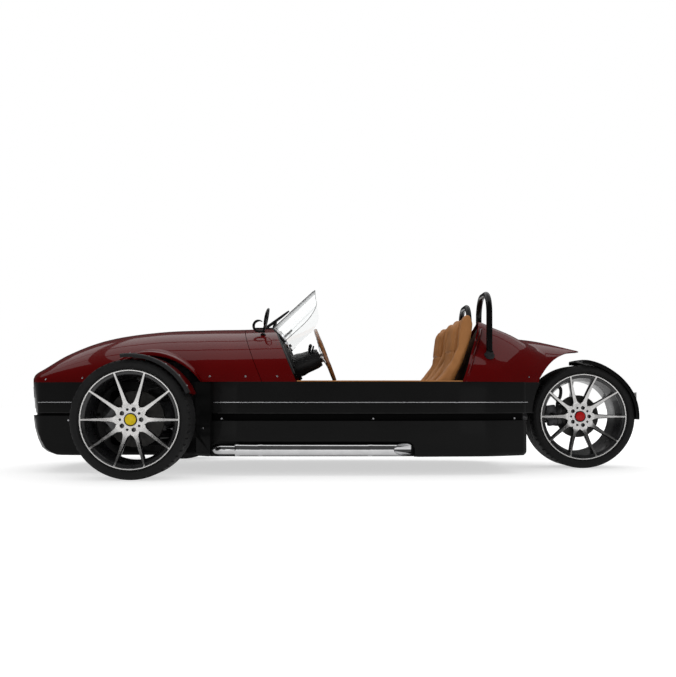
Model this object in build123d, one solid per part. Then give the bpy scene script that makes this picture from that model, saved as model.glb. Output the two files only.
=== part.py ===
from build123d import *
import math
import os

# Open two-seat three wheeled car: two steered front wheels, one rear wheel on a swing arm.
# Millimetres. +X runs to the tail, the car's left side is -Y, +Z is up, the floor is Z = 0.

# Wheels and stance
wheelbase = 2568.0
front_axle_x = -1073.0
front_track = 1560.0
tyre_radius = 313.0
front_tyre_width = 225.0
rear_tyre_width = 275.0
rim_flange_radius = 259.0
rim_seat_radius = 241.0
rim_well_radius = 226.0
rim_wall = 10.0
front_rim_width = 203.0
rear_rim_width = 250.0
carcass_wall = 12.0
spoke_count = 10
spoke_tip_width = 12.0
spoke_root_width = 27.0
wheel_hub_radius = 78.0
wheel_hub_thickness = 45.0
front_face_depth = 30.0
rear_face_depth = 70.0
lug_circle_radius = 55.0
lug_pocket_radius = 11.0
cap_radius = 31.0
cap_thickness = 7.0

# Brakes, knuckles and bearings
running_fit = 0.05
working_gap = 5.0
spindle_radius = 20.0
hub_barrel_radius = 36.0
front_disc_radius = 150.0
rear_disc_radius = 130.0
disc_thickness = 22.0
caliper_length = 150.0
caliper_wall = 16.0
kingpin_y = 655.0
kingpin_radius = 9.0
kingpin_fit = 0.3
ball_boss_radius = 20.0
ball_boss_height = 24.0
lower_ball_z = 208.0
upper_ball_z = 420.0
steering_arm_length = 130.0
rack_z = 262.0
rack_radius = 13.0
rack_housing_radius = 24.0

# Body shell
belt_z = 515.0
floor_z = 102.0
floor_thickness = 12.0
shell_wall = 12.0
nose_arc_radius = 900.0
nose_x = -1822.0
nose_split_x = -1500.0
nose_corner_radius = 90.0
body_rear_x = 1078.0
shelf_z = 341.0
recess_z = 300.0
recess_depth = 20.0
nose_groove_z = 325.0
bottom_edge_radius = 24.0
tail_wall_x = 1175.0
tail_wall_y = 384.0
channel_top_z = 188.0
channel_y = 545.0
channel_front_x = -700.0
channel_rear_x = 425.0
seam_lean = 0.436
cowl_front_x = -560.0
cowl_rear_x = -370.0
cowl_top_z = 851.0
deck_lean = 0.375
deck_front_x = 827.0
deck_top_z = 854.0
tail_tip_x = 1490.0
rear_arch_radius = 385.0
front_arch_radius = 352.0
front_arch_lip_y = 585.0
front_arch_shift = 40.0
front_arch_spread = 90.0
seam_gap = 2.0

# Plan outline of one half of the body: x, half width, corner radius
plan_corners = [
    (-1900.0, 405.0, 0.0),
    (-1340.0, 482.0, 600.0),
    (-800.0, 497.0, 40.0),
    (-690.0, 582.0, 60.0),
    (-560.0, 602.0, 300.0),
    (-200.0, 612.0, 800.0),
    (400.0, 612.0, 800.0),
    (857.0, 568.0, 400.0),
    (body_rear_x, 462.0, 60.0),
]

# Front face of the nose from its top down: height, distance back from the nose's arc
nose_face = [
    (560.0, 0.0),
    (505.0, 0.0),
    (nose_groove_z + 12, 15.0),
    (nose_groove_z, 15.0),
    (nose_groove_z, 0.0),
    (255.0, 8.0),
    (190.0, 25.0),
    (140.0, 47.0),
    (116.0, 76.0),
    (90.0, 140.0),
]

# Crown sections of the hood and cowl: x, height of the crown
hood_sections = [
    (-1840.0, 532.0),
    (-1740.0, 598.0),
    (-1600.0, 699.0),
    (-1380.0, 783.0),
    (-1073.0, 829.0),
    (-760.0, 842.0),
    (-560.0, 845.0),
    (-370.0, 851.0),
    (-150.0, 857.0),
]

# Crown sections of the rear deck: x, half width at the belt, height of the crown
deck_sections = [
    (560.0, 612.0, 806.0),
    (857.0, 572.0, 802.0),
    (1078.0, 450.0, 790.0),
    (1236.0, 330.0, 772.0),
    (tail_tip_x, 150.0, 717.0),
]

# Fairing behind each seat: x, half width, height of its crown
fairing_sections = [
    (640.0, 196.0, 862.0),
    (860.0, 176.0, 846.0),
    (1000.0, 120.0, 786.0),
    (1090.0, 60.0, 750.0),
]
seat_y = 300.0
fairing_y = 347.0
fairing_foot_z = belt_z + 60

rear_axle_x = front_axle_x + wheelbase
wheel_z = tyre_radius
front_wheel_y = front_track / 2


def box(x0, x1, y0, y1, z0, z1):
    centre = ((x0 + x1) / 2, (y0 + y1) / 2, (z0 + z1) / 2)
    return Pos(*centre) * Box(x1 - x0, y1 - y0, z1 - z0)


def rod(start, end, radius):
    axis = Vector(*end) - Vector(*start)
    plane = Plane(origin=start, z_dir=axis)
    return extrude(plane * Circle(radius), amount=axis.length)


def tube_path(points, bend_radius, radius):
    path = FilletPolyline(*points, radius=bend_radius)
    start = Plane(origin=path @ 0, z_dir=path % 0)
    return sweep(start * Circle(radius), path=path)


def side_profile(points, y0, y1):
    face = make_face(Polyline(*points, close=True))
    return Pos(0, y1, 0) * extrude(Plane.XZ * face, amount=y1 - y0)


def mirrored(shape):
    return mirror(shape, about=Plane.XZ)


# The body's plan outline, moved in by an inset
def plan_face(inset=0.0):
    right = [(x, y) for x, y, _ in plan_corners]
    left = [(x, -y) for x, y in reversed(right)]
    face = make_face(Polyline(*right, *left, close=True))
    for x, y, radius in plan_corners:
        if radius > 0:
            ends = [v for v in face.vertices() if abs(v.X - x) < 1 and abs(abs(v.Y) - y) < 1]
            face = fillet(ends, radius)
    arc_centre_x = nose_x + nose_arc_radius
    front = Pos(arc_centre_x, 0) * Circle(nose_arc_radius)
    rear = Pos(arc_centre_x + 2000, 0) * Rectangle(4000, 2 * nose_arc_radius)
    face = face & (front + rear)
    corner = [v for v in face.vertices() if v.X < nose_split_x and abs(v.Y) > 300]
    face = fillet(corner, nose_corner_radius)
    if inset:
        face = offset(face, amount=-inset)
    return face


def plan_prism(inset, z0, z1):
    return Pos(0, 0, z0) * extrude(plan_face(inset), amount=z1 - z0)


# What the raked front face of the nose cuts from an upright shell set in by an inset
def nose_rake(inset):
    points = [(nose_arc_radius + 60, nose_face[0][0])]
    points += [(nose_arc_radius - back - inset, z) for z, back in nose_face]
    points += [(nose_arc_radius + 60, nose_face[-1][0])]
    ring = revolve(Plane.XZ * make_face(Polyline(*points, close=True)), axis=Axis.Z)
    front = nose_x + nose_arc_radius
    return Pos(front, 0, 0) * ring & box(-2000, -1400, -900, 900, 0, 600)


def plan_half_width(x):
    for (x0, y0, _), (x1, y1, _) in zip(plan_corners, plan_corners[1:]):
        if x <= x1:
            return y0 + (y1 - y0) * (x - x0) / (x1 - x0)
    return plan_corners[-1][1]


# One cross-section of the upper body: short upright sides, shoulder arcs and a crown arc
def crown_section(x, half_width, crown_z, base_z, inset):
    crown = max(crown_z - inset, belt_z + 12)
    width = half_width - inset
    side_top = max(belt_z + 5, crown - 0.9 * width)
    rise = crown - side_top
    big = width ** 2 / rise
    small = (width + rise) * rise / (2 * width)
    shoulder = Vector(width - small, side_top)
    reach = Vector(shoulder.X, side_top - (crown - big)).normalized()
    join = Vector(0, crown - big) + reach * big
    middle_angle = math.atan2(reach.Y, reach.X) / 2
    middle = shoulder + Vector(math.cos(middle_angle), math.sin(middle_angle)) * small
    outline = Polyline((-width, side_top), (-width, base_z), (width, base_z), (width, side_top))
    outline += ThreePointArc((width, side_top), (middle.X, middle.Y), (join.X, join.Y))
    outline += ThreePointArc((join.X, join.Y), (0, crown), (-join.X, join.Y))
    outline += ThreePointArc((-join.X, join.Y), (-middle.X, middle.Y), (-width, side_top))
    plane = Plane(origin=(x, 0, 0), x_dir=(0, 1, 0), z_dir=(1, 0, 0))
    return plane * make_face(outline)


def hood_form(inset):
    base_z = belt_z - (40 if inset else 0)
    spread = 4.0
    faces = [crown_section(x, plan_half_width(x) + spread, crown_z, base_z, inset)
             for x, crown_z in hood_sections]
    return loft(faces)


def deck_form(inset):
    base_z = belt_z - (40 if inset else 0)
    faces = [crown_section(x, half_width, crown_z, base_z, inset)
             for x, half_width, crown_z in deck_sections]
    form = loft(faces)
    for side in (-1, 1):
        arches = []
        for x, half_width, crown_z in fairing_sections:
            width = half_width - inset
            plane = Plane(origin=(x, side * fairing_y, 0), x_dir=(0, 1, 0), z_dir=(1, 0, 0))
            low = fairing_foot_z
            side_top = fairing_foot_z + 60
            outline = Polyline((-width, side_top), (-width, low), (width, low), (width, side_top))
            outline += ThreePointArc((width, side_top), (0, crown_z - inset), (-width, side_top))
            arches.append(plane * make_face(outline))
        form += loft(arches, ruled=True)
    return form


# Slab between two leaning planes across the car; the planes lean back going down
def leaning_slab(front_top_x, rear_top_x, top_z, lean, low_z=0.0, high_z=1200.0):
    def x_at(top_x, z):
        return top_x + (top_z - z) * lean
    points = [
        (x_at(front_top_x, low_z), low_z),
        (x_at(rear_top_x, low_z), low_z),
        (x_at(rear_top_x, high_z), high_z),
        (x_at(front_top_x, high_z), high_z),
    ]
    return side_profile(points, -900, 900)


# Lower body: side panels, nose panel and floor
def exhaust_channel(side, margin):
    front = channel_front_x - margin
    rear = channel_rear_x + margin
    top = channel_top_z + margin
    curve = 45.0
    profile = make_face(Polyline((front, 0), (rear, 0), (rear, top), (front, top), close=True))
    ends = [v for v in profile.vertices() if v.Y > 1]
    profile = fillet(ends, curve)
    y0 = channel_y - margin
    solid = extrude(Plane.XZ * profile, amount=200)
    return Pos(0, y0 + 200, 0) * solid if side > 0 else Pos(0, -y0, 0) * solid


def lower_shell():
    outer = plan_prism(0, floor_z, belt_z)
    outer = fillet(outer.edges().group_by(Axis.Z)[0], bottom_edge_radius)
    ring = plan_prism(-5, recess_z, shelf_z) - plan_prism(recess_depth, recess_z - 1, shelf_z + 1)
    ring &= box(-690, body_rear_x + 10, -900, 900, 0, 600)
    outer -= ring
    groove = plan_prism(-5, nose_groove_z, shelf_z) - plan_prism(recess_depth, nose_groove_z - 1, shelf_z + 1)
    groove &= box(-1900, -1330, -900, 900, 0, 600)
    outer -= groove + nose_rake(0)
    inner = plan_prism(shell_wall, floor_z - 1, belt_z + 1) - nose_rake(shell_wall)
    lining = plan_prism(0, recess_z - shell_wall, shelf_z + shell_wall)
    lining -= plan_prism(recess_depth + shell_wall, 0, 600)
    inner -= lining
    for side in (-1, 1):
        outer -= exhaust_channel(side, 0)
        inner -= exhaust_channel(side, shell_wall)
    return outer - inner


wheelhouse_x0 = -1275.0
wheelhouse_x1 = -872.0
wheelhouse_z0 = 158.0
wheelhouse_z1 = 470.0
guard_y0 = 490.0
guard_y1 = 506.0


def side_panels(lower):
    shell = lower & box(nose_split_x, 1300, -900, 900, 0, 600)
    opening = Pos((wheelhouse_x0 + wheelhouse_x1) / 2, 0, (wheelhouse_z0 + wheelhouse_z1) / 2)
    opening *= Box(wheelhouse_x1 - wheelhouse_x0, 2000, wheelhouse_z1 - wheelhouse_z0)
    opening = fillet(opening.edges().filter_by(Axis.Y), 40)
    shell -= opening
    left = shell & box(-2000, 2000, -900, -0.5, 0, 600)
    guard = [(-850, 120), (-795, 120), (-787, 250), (-800, 292), (-818, 280)]
    left += side_profile(guard, -guard_y1, -guard_y0)
    tail = make_face(Polyline(
        (body_rear_x - 60, -plan_half_width(body_rear_x - 60)),
        (tail_wall_x, -tail_wall_y),
        (tail_wall_x, shell_wall - tail_wall_y),
        (body_rear_x - 60, shell_wall - plan_half_width(body_rear_x - 60)),
        close=True,
    ))
    tail = Pos(0, 0, shelf_z) * extrude(tail, amount=belt_z - shelf_z)
    left += tail - rod((rear_axle_x, -900, wheel_z), (rear_axle_x, 900, wheel_z), rear_arch_radius)
    return left, mirrored(left)


grille_half_width = 178.0
grille_z0 = 165.0
grille_z1 = 300.0
upper_grille_z0 = 362.0
upper_grille_z1 = 492.0
lamp_y = 272.0
lamp_z = 428.0
lamp_radius = 62.0
lamp_depth = 95.0


def nose_openings(margin):
    shapes = []
    for z0, z1 in ((grille_z0, grille_z1), (upper_grille_z0, upper_grille_z1)):
        hole = box(-2000, -1600, -grille_half_width - margin, grille_half_width + margin,
                   z0 - margin, z1 + margin)
        shapes.append(fillet(hole.edges().filter_by(Axis.X), 30 + margin))
    return shapes


def nose_panel(lower):
    shell = lower & box(-2000, nose_split_x, -900, 900, 0, 600)
    for hole in nose_openings(0):
        shell -= hole
    for side in (-1, 1):
        shell -= rod((-2000, side * lamp_y, lamp_z), (-1600, side * lamp_y, lamp_z), lamp_radius + 1)
    return shell


# Curved mesh in each opening of the nose: a frame and crossed bars cut from the nose's own curve
def grille(panel):
    bar = 5.0
    pitch = 26.0
    depth = 8.0
    skin = plan_prism(shell_wall, grille_z0 - 20, upper_grille_z1 + 15) - nose_rake(shell_wall)
    skin -= plan_prism(shell_wall + depth, 0, 600) - nose_rake(shell_wall + depth)
    skin &= box(-2000, -1600, -400, 400, 0, 600)
    pieces = []
    for outer, inner in zip(nose_openings(12), nose_openings(-4)):
        limits = outer.bounding_box()
        bars = outer - inner
        half = math.floor(grille_half_width / pitch)
        for index in range(-half, half + 1):
            y = index * pitch
            bars += box(-2000, -1600, y - bar / 2, y + bar / 2, limits.min.Z + 2, limits.max.Z - 2)
        rows = math.floor((limits.max.Z - limits.min.Z) / pitch)
        for index in range(1, rows):
            z = limits.min.Z + index * (limits.max.Z - limits.min.Z) / rows
            bars += box(-2000, -1600, limits.min.Y + 2, limits.max.Y - 2, z - bar / 2, z + bar / 2)
        piece = (skin & bars) - panel
        pieces.append(max(piece.solids(), key=lambda solid: solid.volume))
    return Compound(pieces)


def headlamps():
    lamps = []
    outer_y = lamp_y + lamp_radius
    face_x = nose_x + nose_arc_radius - math.sqrt(nose_arc_radius ** 2 - outer_y ** 2)
    edge_depth = 4.0
    rim_depth = 34.0
    dome = ThreePointArc((0, -8), (lamp_radius * 0.7, -4), (lamp_radius, edge_depth))
    bowl = Polyline((lamp_radius, edge_depth), (lamp_radius, rim_depth), (lamp_radius * 0.62, lamp_depth),
                    (0, lamp_depth), (0, -8))
    lamp = revolve(Plane.XZ * make_face(dome + bowl), axis=Axis.Z)
    for side in (-1, 1):
        lamps.append(Pos(face_x - 12, side * lamp_y, lamp_z) * Rot(0, 90, 0) * lamp)
    return Compound(lamps)


tunnel_x0 = -600.0
tunnel_x1 = 545.0
tunnel_half_width = 75.0
tunnel_top_z = 272.0
bulkhead_wall = 12.0
firewall_x = -640.0


def floor_pan():
    top = floor_z + floor_thickness
    pan = plan_prism(shell_wall, floor_z, top) - nose_rake(shell_wall)
    for side in (-1, 1):
        pan -= exhaust_channel(side, shell_wall)
    cut = box(wheelhouse_x0, wheelhouse_x1, 300, 700, 0, 200)
    pan -= cut + mirrored(cut)
    tunnel = box(tunnel_x0, tunnel_x1, -tunnel_half_width, tunnel_half_width, top, tunnel_top_z)
    tunnel = fillet(tunnel.edges().filter_by(Axis.X).group_by(Axis.Z)[-1], 30)
    inner = tunnel_half_width - shell_wall
    tunnel -= box(tunnel_x0 - 1, tunnel_x1 + 1, -inner, inner, 0, tunnel_top_z - shell_wall)
    return pan + tunnel


def bulkheads():
    gap = shell_wall + 0.5
    below = plan_prism(gap, floor_z + floor_thickness, belt_z)
    for side in (-1, 1):
        below -= exhaust_channel(side, gap)
    below -= plan_prism(0, recess_z - 30, shelf_z + 30) - plan_prism(recess_depth + gap, 0, 600)
    firewall = below + (hood_form(gap) & box(-700, -500, -900, 900, belt_z, 1000))
    firewall &= box(firewall_x, firewall_x + bulkhead_wall, -900, 900, 0, 1000)
    rear = below + (deck_form(gap) & box(500, 1000, -900, 900, belt_z, 1000))
    front_top_x = deck_front_x + 2
    rear &= leaning_slab(front_top_x, front_top_x + bulkhead_wall, deck_top_z, -deck_lean)
    for leg_y in hoop_legs():
        rear -= rod((hoop_x, leg_y, 0), (hoop_x, leg_y, 1000), hoop_tube / 2 + 1)
    return firewall, rear


# Upper body: hood, cowl and rear deck. The hood swells into a cone over each front wheel, set a
# little behind the axle, so that its lip is deepest behind the wheel and fades ahead of it.
def front_arch(side):
    lip_radius = front_arch_radius - 6
    root_y = 440.0
    profile = Polyline(
        (300, front_arch_lip_y), (lip_radius, front_arch_lip_y),
        (lip_radius + front_arch_spread, root_y), (300, root_y), close=True)
    ring = revolve(Plane.XY * make_face(profile), axis=Axis.Y, revolution_arc=360)
    ring = Pos(front_axle_x + front_arch_shift, 0, wheel_z) * ring
    ring &= box(-1500, -400, 0, 900, belt_z, 900)
    return ring if side > 0 else mirrored(ring)


def hood_and_cowl():
    solid = hood_form(0) & plan_prism(0, belt_z, 1000)
    before_seam = leaning_slab(-2600, cowl_front_x - seam_gap, cowl_top_z, seam_lean)
    for side in (-1, 1):
        solid += front_arch(side) & before_seam
        near = (front_axle_x, side * 430, wheel_z)
        far = (front_axle_x, side * 700, wheel_z)
        solid -= rod(near, far, front_arch_radius)
    shell = solid - (hood_form(shell_wall) & plan_prism(shell_wall, 0, 1000))
    hood = max((shell & before_seam).solids(), key=lambda piece: piece.volume)
    cowl = shell & leaning_slab(cowl_front_x, cowl_rear_x, cowl_top_z, seam_lean)
    return hood, cowl


hoop_x = 852.0
hoop_tube = 34.0
hoop_inner_y = 173.0
hoop_outer_y = 508.0
hoop_top_z = 1034.0
hoop_bend = 120.0


def hoop_legs():
    return [side * y for side in (-1, 1) for y in (hoop_inner_y, hoop_outer_y)]


def rear_deck():
    shell = deck_form(0) - deck_form(shell_wall)
    shell &= leaning_slab(deck_front_x, 2000, deck_top_z, -deck_lean)
    shell &= box(0, tail_tip_x, -900, 900, belt_z, 1200)
    shell -= rod((rear_axle_x, -700, wheel_z), (rear_axle_x, 700, wheel_z), rear_arch_radius)
    for leg_y in hoop_legs():
        shell -= rod((hoop_x, leg_y, 0), (hoop_x, leg_y, 1000), hoop_tube / 2 + 1)
    return shell


def roll_hoops():
    hoops = []
    low = floor_z + floor_thickness
    top = hoop_top_z - hoop_tube / 2
    for side in (-1, 1):
        inner = side * hoop_inner_y
        outer = side * hoop_outer_y
        points = [(hoop_x, outer, low), (hoop_x, outer, top), (hoop_x, inner, top), (hoop_x, inner, low)]
        hoops.append(tube_path(points, hoop_bend, hoop_tube / 2))
    return Compound(hoops)


def dashboard():
    inner = hood_form(shell_wall + 0.5)
    face = inner & leaning_slab(cowl_rear_x - 20, cowl_rear_x + 26, cowl_top_z, seam_lean)
    face &= box(-500, 0, -560, 560, 600, 900)
    start = column_point(-330)
    end = column_point(30)
    return face - rod(start, end, column_radius + 3)


# Windscreen: one bent clear sheet that leans back, trimmed to a rounded outline
screen_base_x = -420.0
screen_base_z = 829.0
screen_lean = 42.2
screen_bend_radius = 770.0
screen_thickness = 5.0
screen_half_width = 448.0
screen_side = 170.0
screen_top_half = 337.0
screen_shoulder = 331.0
screen_height = 389.0


def windscreen():
    lean = math.radians(screen_lean)
    along = (math.cos(lean), 0, math.sin(lean))
    outward = (-math.sin(lean), 0, math.cos(lean))
    foot = (screen_base_x, 0, screen_base_z)
    section = Circle(screen_bend_radius) - Circle(screen_bend_radius - screen_thickness)
    section = Pos(0, -screen_bend_radius) * section & Pos(0, -150) * Rectangle(1000, 300)
    sheet = extrude(Plane(origin=foot, x_dir=(0, 1, 0), z_dir=along) * section, amount=440, both=True)
    side = screen_half_width
    corner = (screen_top_half, screen_shoulder)
    middle = ((side + screen_top_half) / 2 + 32, (screen_side + screen_shoulder) / 2 + 12)
    outline = Polyline((-side, screen_side), (-side, -80), (side, -80), (side, screen_side))
    outline += ThreePointArc((side, screen_side), middle, corner)
    outline += ThreePointArc(corner, (0, screen_height), (-corner[0], corner[1]))
    outline += ThreePointArc((-corner[0], corner[1]), (-middle[0], middle[1]), (-side, screen_side))
    face = Plane(origin=foot, x_dir=(0, -1, 0), z_dir=outward) * make_face(outline)
    sheet &= extrude(face, amount=400, both=True)
    sheet -= hood_form(-0.5)
    sheet &= box(-600, 100, -600, 600, 700, 1200)
    return max(sheet.solids(), key=lambda solid: solid.volume)


mirror_y = 345.0
mirror_x = -400.0
mirror_z = 868.0
mirror_radius = 57.0


def door_mirrors():
    arm_outer = 48.0
    arm_inner = 36.0
    arm_width = 12.0
    head_width = 18.0
    centre = (mirror_x - 18, mirror_y, mirror_z - 26)
    ring = Circle(arm_outer) - Circle(arm_inner)
    ring -= Pos(40, 0) * Rectangle(80, 48)
    arm = Pos(0, arm_width / 2, 0) * extrude(Plane.XZ * ring, amount=arm_width)
    piece = Pos(*centre) * arm
    head = Rot(0, 90, 0) * Cylinder(mirror_radius, head_width)
    piece += Pos(mirror_x + 4, mirror_y, mirror_z) * head
    foot_x = centre[0] + 6
    piece += rod((foot_x, mirror_y, centre[2] - 80), (foot_x, mirror_y, centre[2] - arm_inner - 4), 9)
    piece -= hood_form(-0.2)
    piece = max(piece.solids(), key=lambda solid: solid.volume)
    return Compound([piece, mirrored(piece)])


sill_height = 7.0
sill_width = 34.0


def sill_trim():
    ring = plan_prism(1, belt_z, belt_z + sill_height) - plan_prism(sill_width, 0, 600)
    front = cowl_rear_x + (cowl_top_z - belt_z) * seam_lean
    rear = deck_front_x - (deck_top_z - belt_z) * deck_lean
    return ring & box(front + 3, rear - 3, -900, 900, 0, 600)


# Seats: a plain closed cushion each
seat_width = 430.0


def seat(side):
    low = floor_z + floor_thickness
    outline = [
        (120, low), (120, 318), (540, 268), (600, 330), (648, 640), (664, 862), (700, 912), (748, 914),
        (782, 850), (780, 800), (670, 500), (612, 340), (536, low),
    ]
    y0 = side * seat_y - seat_width / 2
    solid = side_profile(outline, y0, y0 + seat_width)
    edges = [e for e in solid.edges() if abs(e.length - seat_width) < 1 and e.center().Z > low + 1]
    beside_tunnel = tunnel_half_width + 0.5
    return fillet(edges, 14) - box(0, 700, -beside_tunnel, beside_tunnel, 0, tunnel_top_z + 0.5)


# Steering
column_tilt = 21.0
steering_x = -69.0
steering_z = 675.0
steering_y = -seat_y
steering_rim_radius = 153.0
steering_rim_tube = 11.0
column_radius = 34.0
shaft_radius = 11.0


def column_point(distance):
    tilt = math.radians(column_tilt)
    return (steering_x + distance * math.cos(tilt), steering_y, steering_z + distance * math.sin(tilt))


def steering_column():
    shroud = rod(column_point(-330), column_point(-62), column_radius)
    shaft = rod(column_point(-640), column_point(8), shaft_radius)
    shaft -= box(-1200, firewall_x + bulkhead_wall, -900, 900, 0, 900)
    tip = column_point(-70)
    stalk = rod(column_point(-92), (tip[0], steering_y - 62, tip[2] + 74), 5)
    return shroud + shaft + stalk


def steering_wheel():
    tilt = math.radians(column_tilt)
    plane = Plane(origin=(steering_x, steering_y, steering_z), x_dir=(0, 1, 0),
                  z_dir=(math.cos(tilt), 0, math.sin(tilt)))
    section = Pos(steering_rim_radius, 0) * RegularPolygon(steering_rim_tube * 1.04, 8, rotation=22.5)
    rim = revolve(Plane.XZ * section, axis=Axis.Z)
    piece = rim + Pos(0, 0, -22) * Cylinder(34, 30)
    spoke_length = steering_rim_radius - 22
    for angle in (90, 210, 330):
        spoke = Pos(steering_rim_radius / 2 + 8, 0, -14) * Box(spoke_length, 26, 5)
        tip = Pos(steering_rim_radius - 8, 0, -8) * Box(10, 26, 16)
        piece += Rot(0, 0, angle) * (spoke + tip)
    piece -= Pos(0, 0, -24) * Cylinder(shaft_radius + running_fit, 90)
    return plane.location * piece


def pedals():
    parts = []
    firewall_face = firewall_x + bulkhead_wall
    for y in (steering_y - 90, steering_y + 50):
        pad = Pos(-470, y, 290) * Rot(0, -25, 0) * Box(10, 70, 90)
        arm = rod((-480, y, 300), (-560, y, 470), 8) + rod((-560, y, 470), (firewall_face, y, 470), 10)
        parts.append(pad + arm)
    lever = rod((20, 0, tunnel_top_z - 12), (0, 0, 400), 8) + Pos(0, 0, 412) * Cylinder(22, 30)
    lever += box(-20, 60, -30, 30, tunnel_top_z, tunnel_top_z + 12)
    parts.append(lever - box(-100, 100, -100, 100, 0, tunnel_top_z))
    return Compound(parts)


# Exhausts: a chrome tube low on each side, slash cut at its rear end
exhaust_y = 600.0
exhaust_z = 143.0
exhaust_radius = 33.5
exhaust_front_radius = 26.0
exhaust_wall = 2.0
exhaust_joint_x = -548.0
exhaust_tip_x = 408.0


def exhausts():
    start = (exhaust_joint_x, exhaust_y, exhaust_z)
    tip = (exhaust_tip_x, exhaust_y, exhaust_z)
    main = rod(start, tip, exhaust_radius)
    bore = rod((exhaust_joint_x + 40, exhaust_y, exhaust_z), (exhaust_tip_x + 1, exhaust_y, exhaust_z),
               exhaust_radius - exhaust_wall)
    slash = make_face(Polyline((260, exhaust_y + 60), (exhaust_tip_x + 30, exhaust_y + 60),
                               (exhaust_tip_x + 30, exhaust_y - 40), close=True))
    pipe = main - bore - extrude(slash, amount=400)
    elbow_x = channel_front_x + 32
    pipe += tube_path([start, (elbow_x, exhaust_y, exhaust_z), (elbow_x, channel_y, exhaust_z)], 45,
                      exhaust_front_radius)
    pipe += rod((exhaust_joint_x - 10, exhaust_y, exhaust_z), (exhaust_joint_x + 12, exhaust_y, exhaust_z),
                exhaust_radius + 3)
    for x in (-420, 180):
        clamp = rod((x - 12, exhaust_y, exhaust_z), (x + 12, exhaust_y, exhaust_z), exhaust_radius + 2)
        clamp += box(x - 12, x + 12, channel_y, exhaust_y - 25, exhaust_z - 10, exhaust_z + 10)
        pipe += clamp - bore
    return Compound([pipe, mirrored(pipe)])


# Engine, front frame and suspension
engine_half_width = 195.0
rack_x = front_axle_x + steering_arm_length


def engine_block():
    width = engine_half_width
    block = box(-1300, -800, -width, width, 300, 640)
    block += box(-1300, rack_x - 45, -width, width, 225, 300)
    block += box(-1240, -900, -150, 150, 640, 700)
    block += box(-1250, rack_x - 60, -150, 150, 170, 225)
    return block


wishbone_tube = 12.0
pivot_bush_radius = 19.0
lower_pivot_y = 285.0
upper_pivot_y = 300.0
lower_spread = 165.0
upper_spread = 170.0
frame_tube = 16.0
frame_rail_y = 240.0
frame_front_x = -1440.0
frame_rear_x = -640.0
damper_x = front_axle_x - 42.0
damper_foot_y = 560.0
damper_top_y = 362.0
damper_top_z = 628.0

# Height of the ball, half width at the pivots, spread of the pivots along the car
wishbone_rows = [
    (lower_ball_z, lower_pivot_y, lower_spread),
    (upper_ball_z, upper_pivot_y, upper_spread),
]


def wishbone(ball_z, pivot_y, spread):
    arm = Pos(front_axle_x, kingpin_y, ball_z) * Cylinder(ball_boss_radius, ball_boss_height)
    for sign in (-1, 1):
        pivot_x = front_axle_x + sign * spread
        arm += rod((pivot_x, pivot_y, ball_z), (front_axle_x, kingpin_y - 4, ball_z), wishbone_tube)
        arm += rod((pivot_x - 22, pivot_y, ball_z), (pivot_x + 22, pivot_y, ball_z), pivot_bush_radius)
    arm -= Pos(front_axle_x, kingpin_y, ball_z) * Cylinder(kingpin_radius + kingpin_fit, 60)
    return arm


def wishbones():
    arms = [wishbone(ball_z, pivot_y, spread) for ball_z, pivot_y, spread in wishbone_rows]
    return Compound(arms + [mirrored(arm) for arm in arms])


def front_frame():
    ends = (frame_front_x + frame_tube, frame_rear_x - frame_tube)
    rails = [rod((frame_front_x, frame_rail_y, z), (frame_rear_x, frame_rail_y, z), frame_tube)
             for z in (lower_ball_z, upper_ball_z)]
    posts = [rod((x, frame_rail_y, floor_z + floor_thickness), (x, frame_rail_y, upper_ball_z), frame_tube)
             for x in ends]
    frame = rails[0] + rails[1] + posts[0] + posts[1]
    for z, pivot_y, spread in wishbone_rows:
        for sign in (-1, 1):
            x = front_axle_x + sign * spread
            for x0, x1 in ((x - 30, x - 22), (x + 22, x + 30)):
                frame += box(x0, x1, frame_rail_y, pivot_y + 15, z - 14, z + 14)
    frame += rod((damper_x, frame_rail_y, upper_ball_z), (damper_x, frame_rail_y, 640), frame_tube)
    frame += rod((damper_x, frame_rail_y, damper_top_z), (damper_x, damper_top_y - 16, damper_top_z), 13)
    whole = frame + mirrored(frame)
    for x in ends:
        whole += rod((x, -frame_rail_y, lower_ball_z), (x, frame_rail_y, lower_ball_z), frame_tube)
    housing = rod((rack_x, -frame_rail_y, rack_z), (rack_x, frame_rail_y, rack_z), rack_housing_radius)
    housing -= rod((rack_x, -400, rack_z), (rack_x, 400, rack_z), rack_radius + kingpin_fit)
    for side in (-1, 1):
        y = side * frame_rail_y
        housing += box(rack_x - 20, rack_x + 20, y - 14, y + 14, lower_ball_z, rack_z - rack_radius - 1)
    return whole + housing


damper_coils = 7


def dampers():
    seat_z = lower_ball_z + wishbone_tube
    low = Vector(damper_x, damper_foot_y, seat_z + 18)
    high = Vector(damper_x, damper_top_y, damper_top_z)
    axis = high - low
    body = rod(tuple(low), tuple(high), 13)
    for step in range(damper_coils):
        start = low + axis * (0.24 + step * 0.6 / (damper_coils - 1))
        body += rod(tuple(start), tuple(start + axis.normalized() * 10), 27)
    body += box(damper_x - 14, damper_x + 14, damper_foot_y - 16, damper_foot_y + 16, seat_z, seat_z + 30)
    return Compound([body, mirrored(body)])


def rack():
    bar = rod((rack_x, -360, rack_z), (rack_x, 360, rack_z), rack_radius)
    for side in (-1, 1):
        bar += rod((rack_x, side * 340, rack_z), (rack_x, side * 606, rack_z), 8)
        bar += rod((rack_x, side * 350, rack_z), (rack_x, side * 372, rack_z), 20)
    return bar


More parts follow.
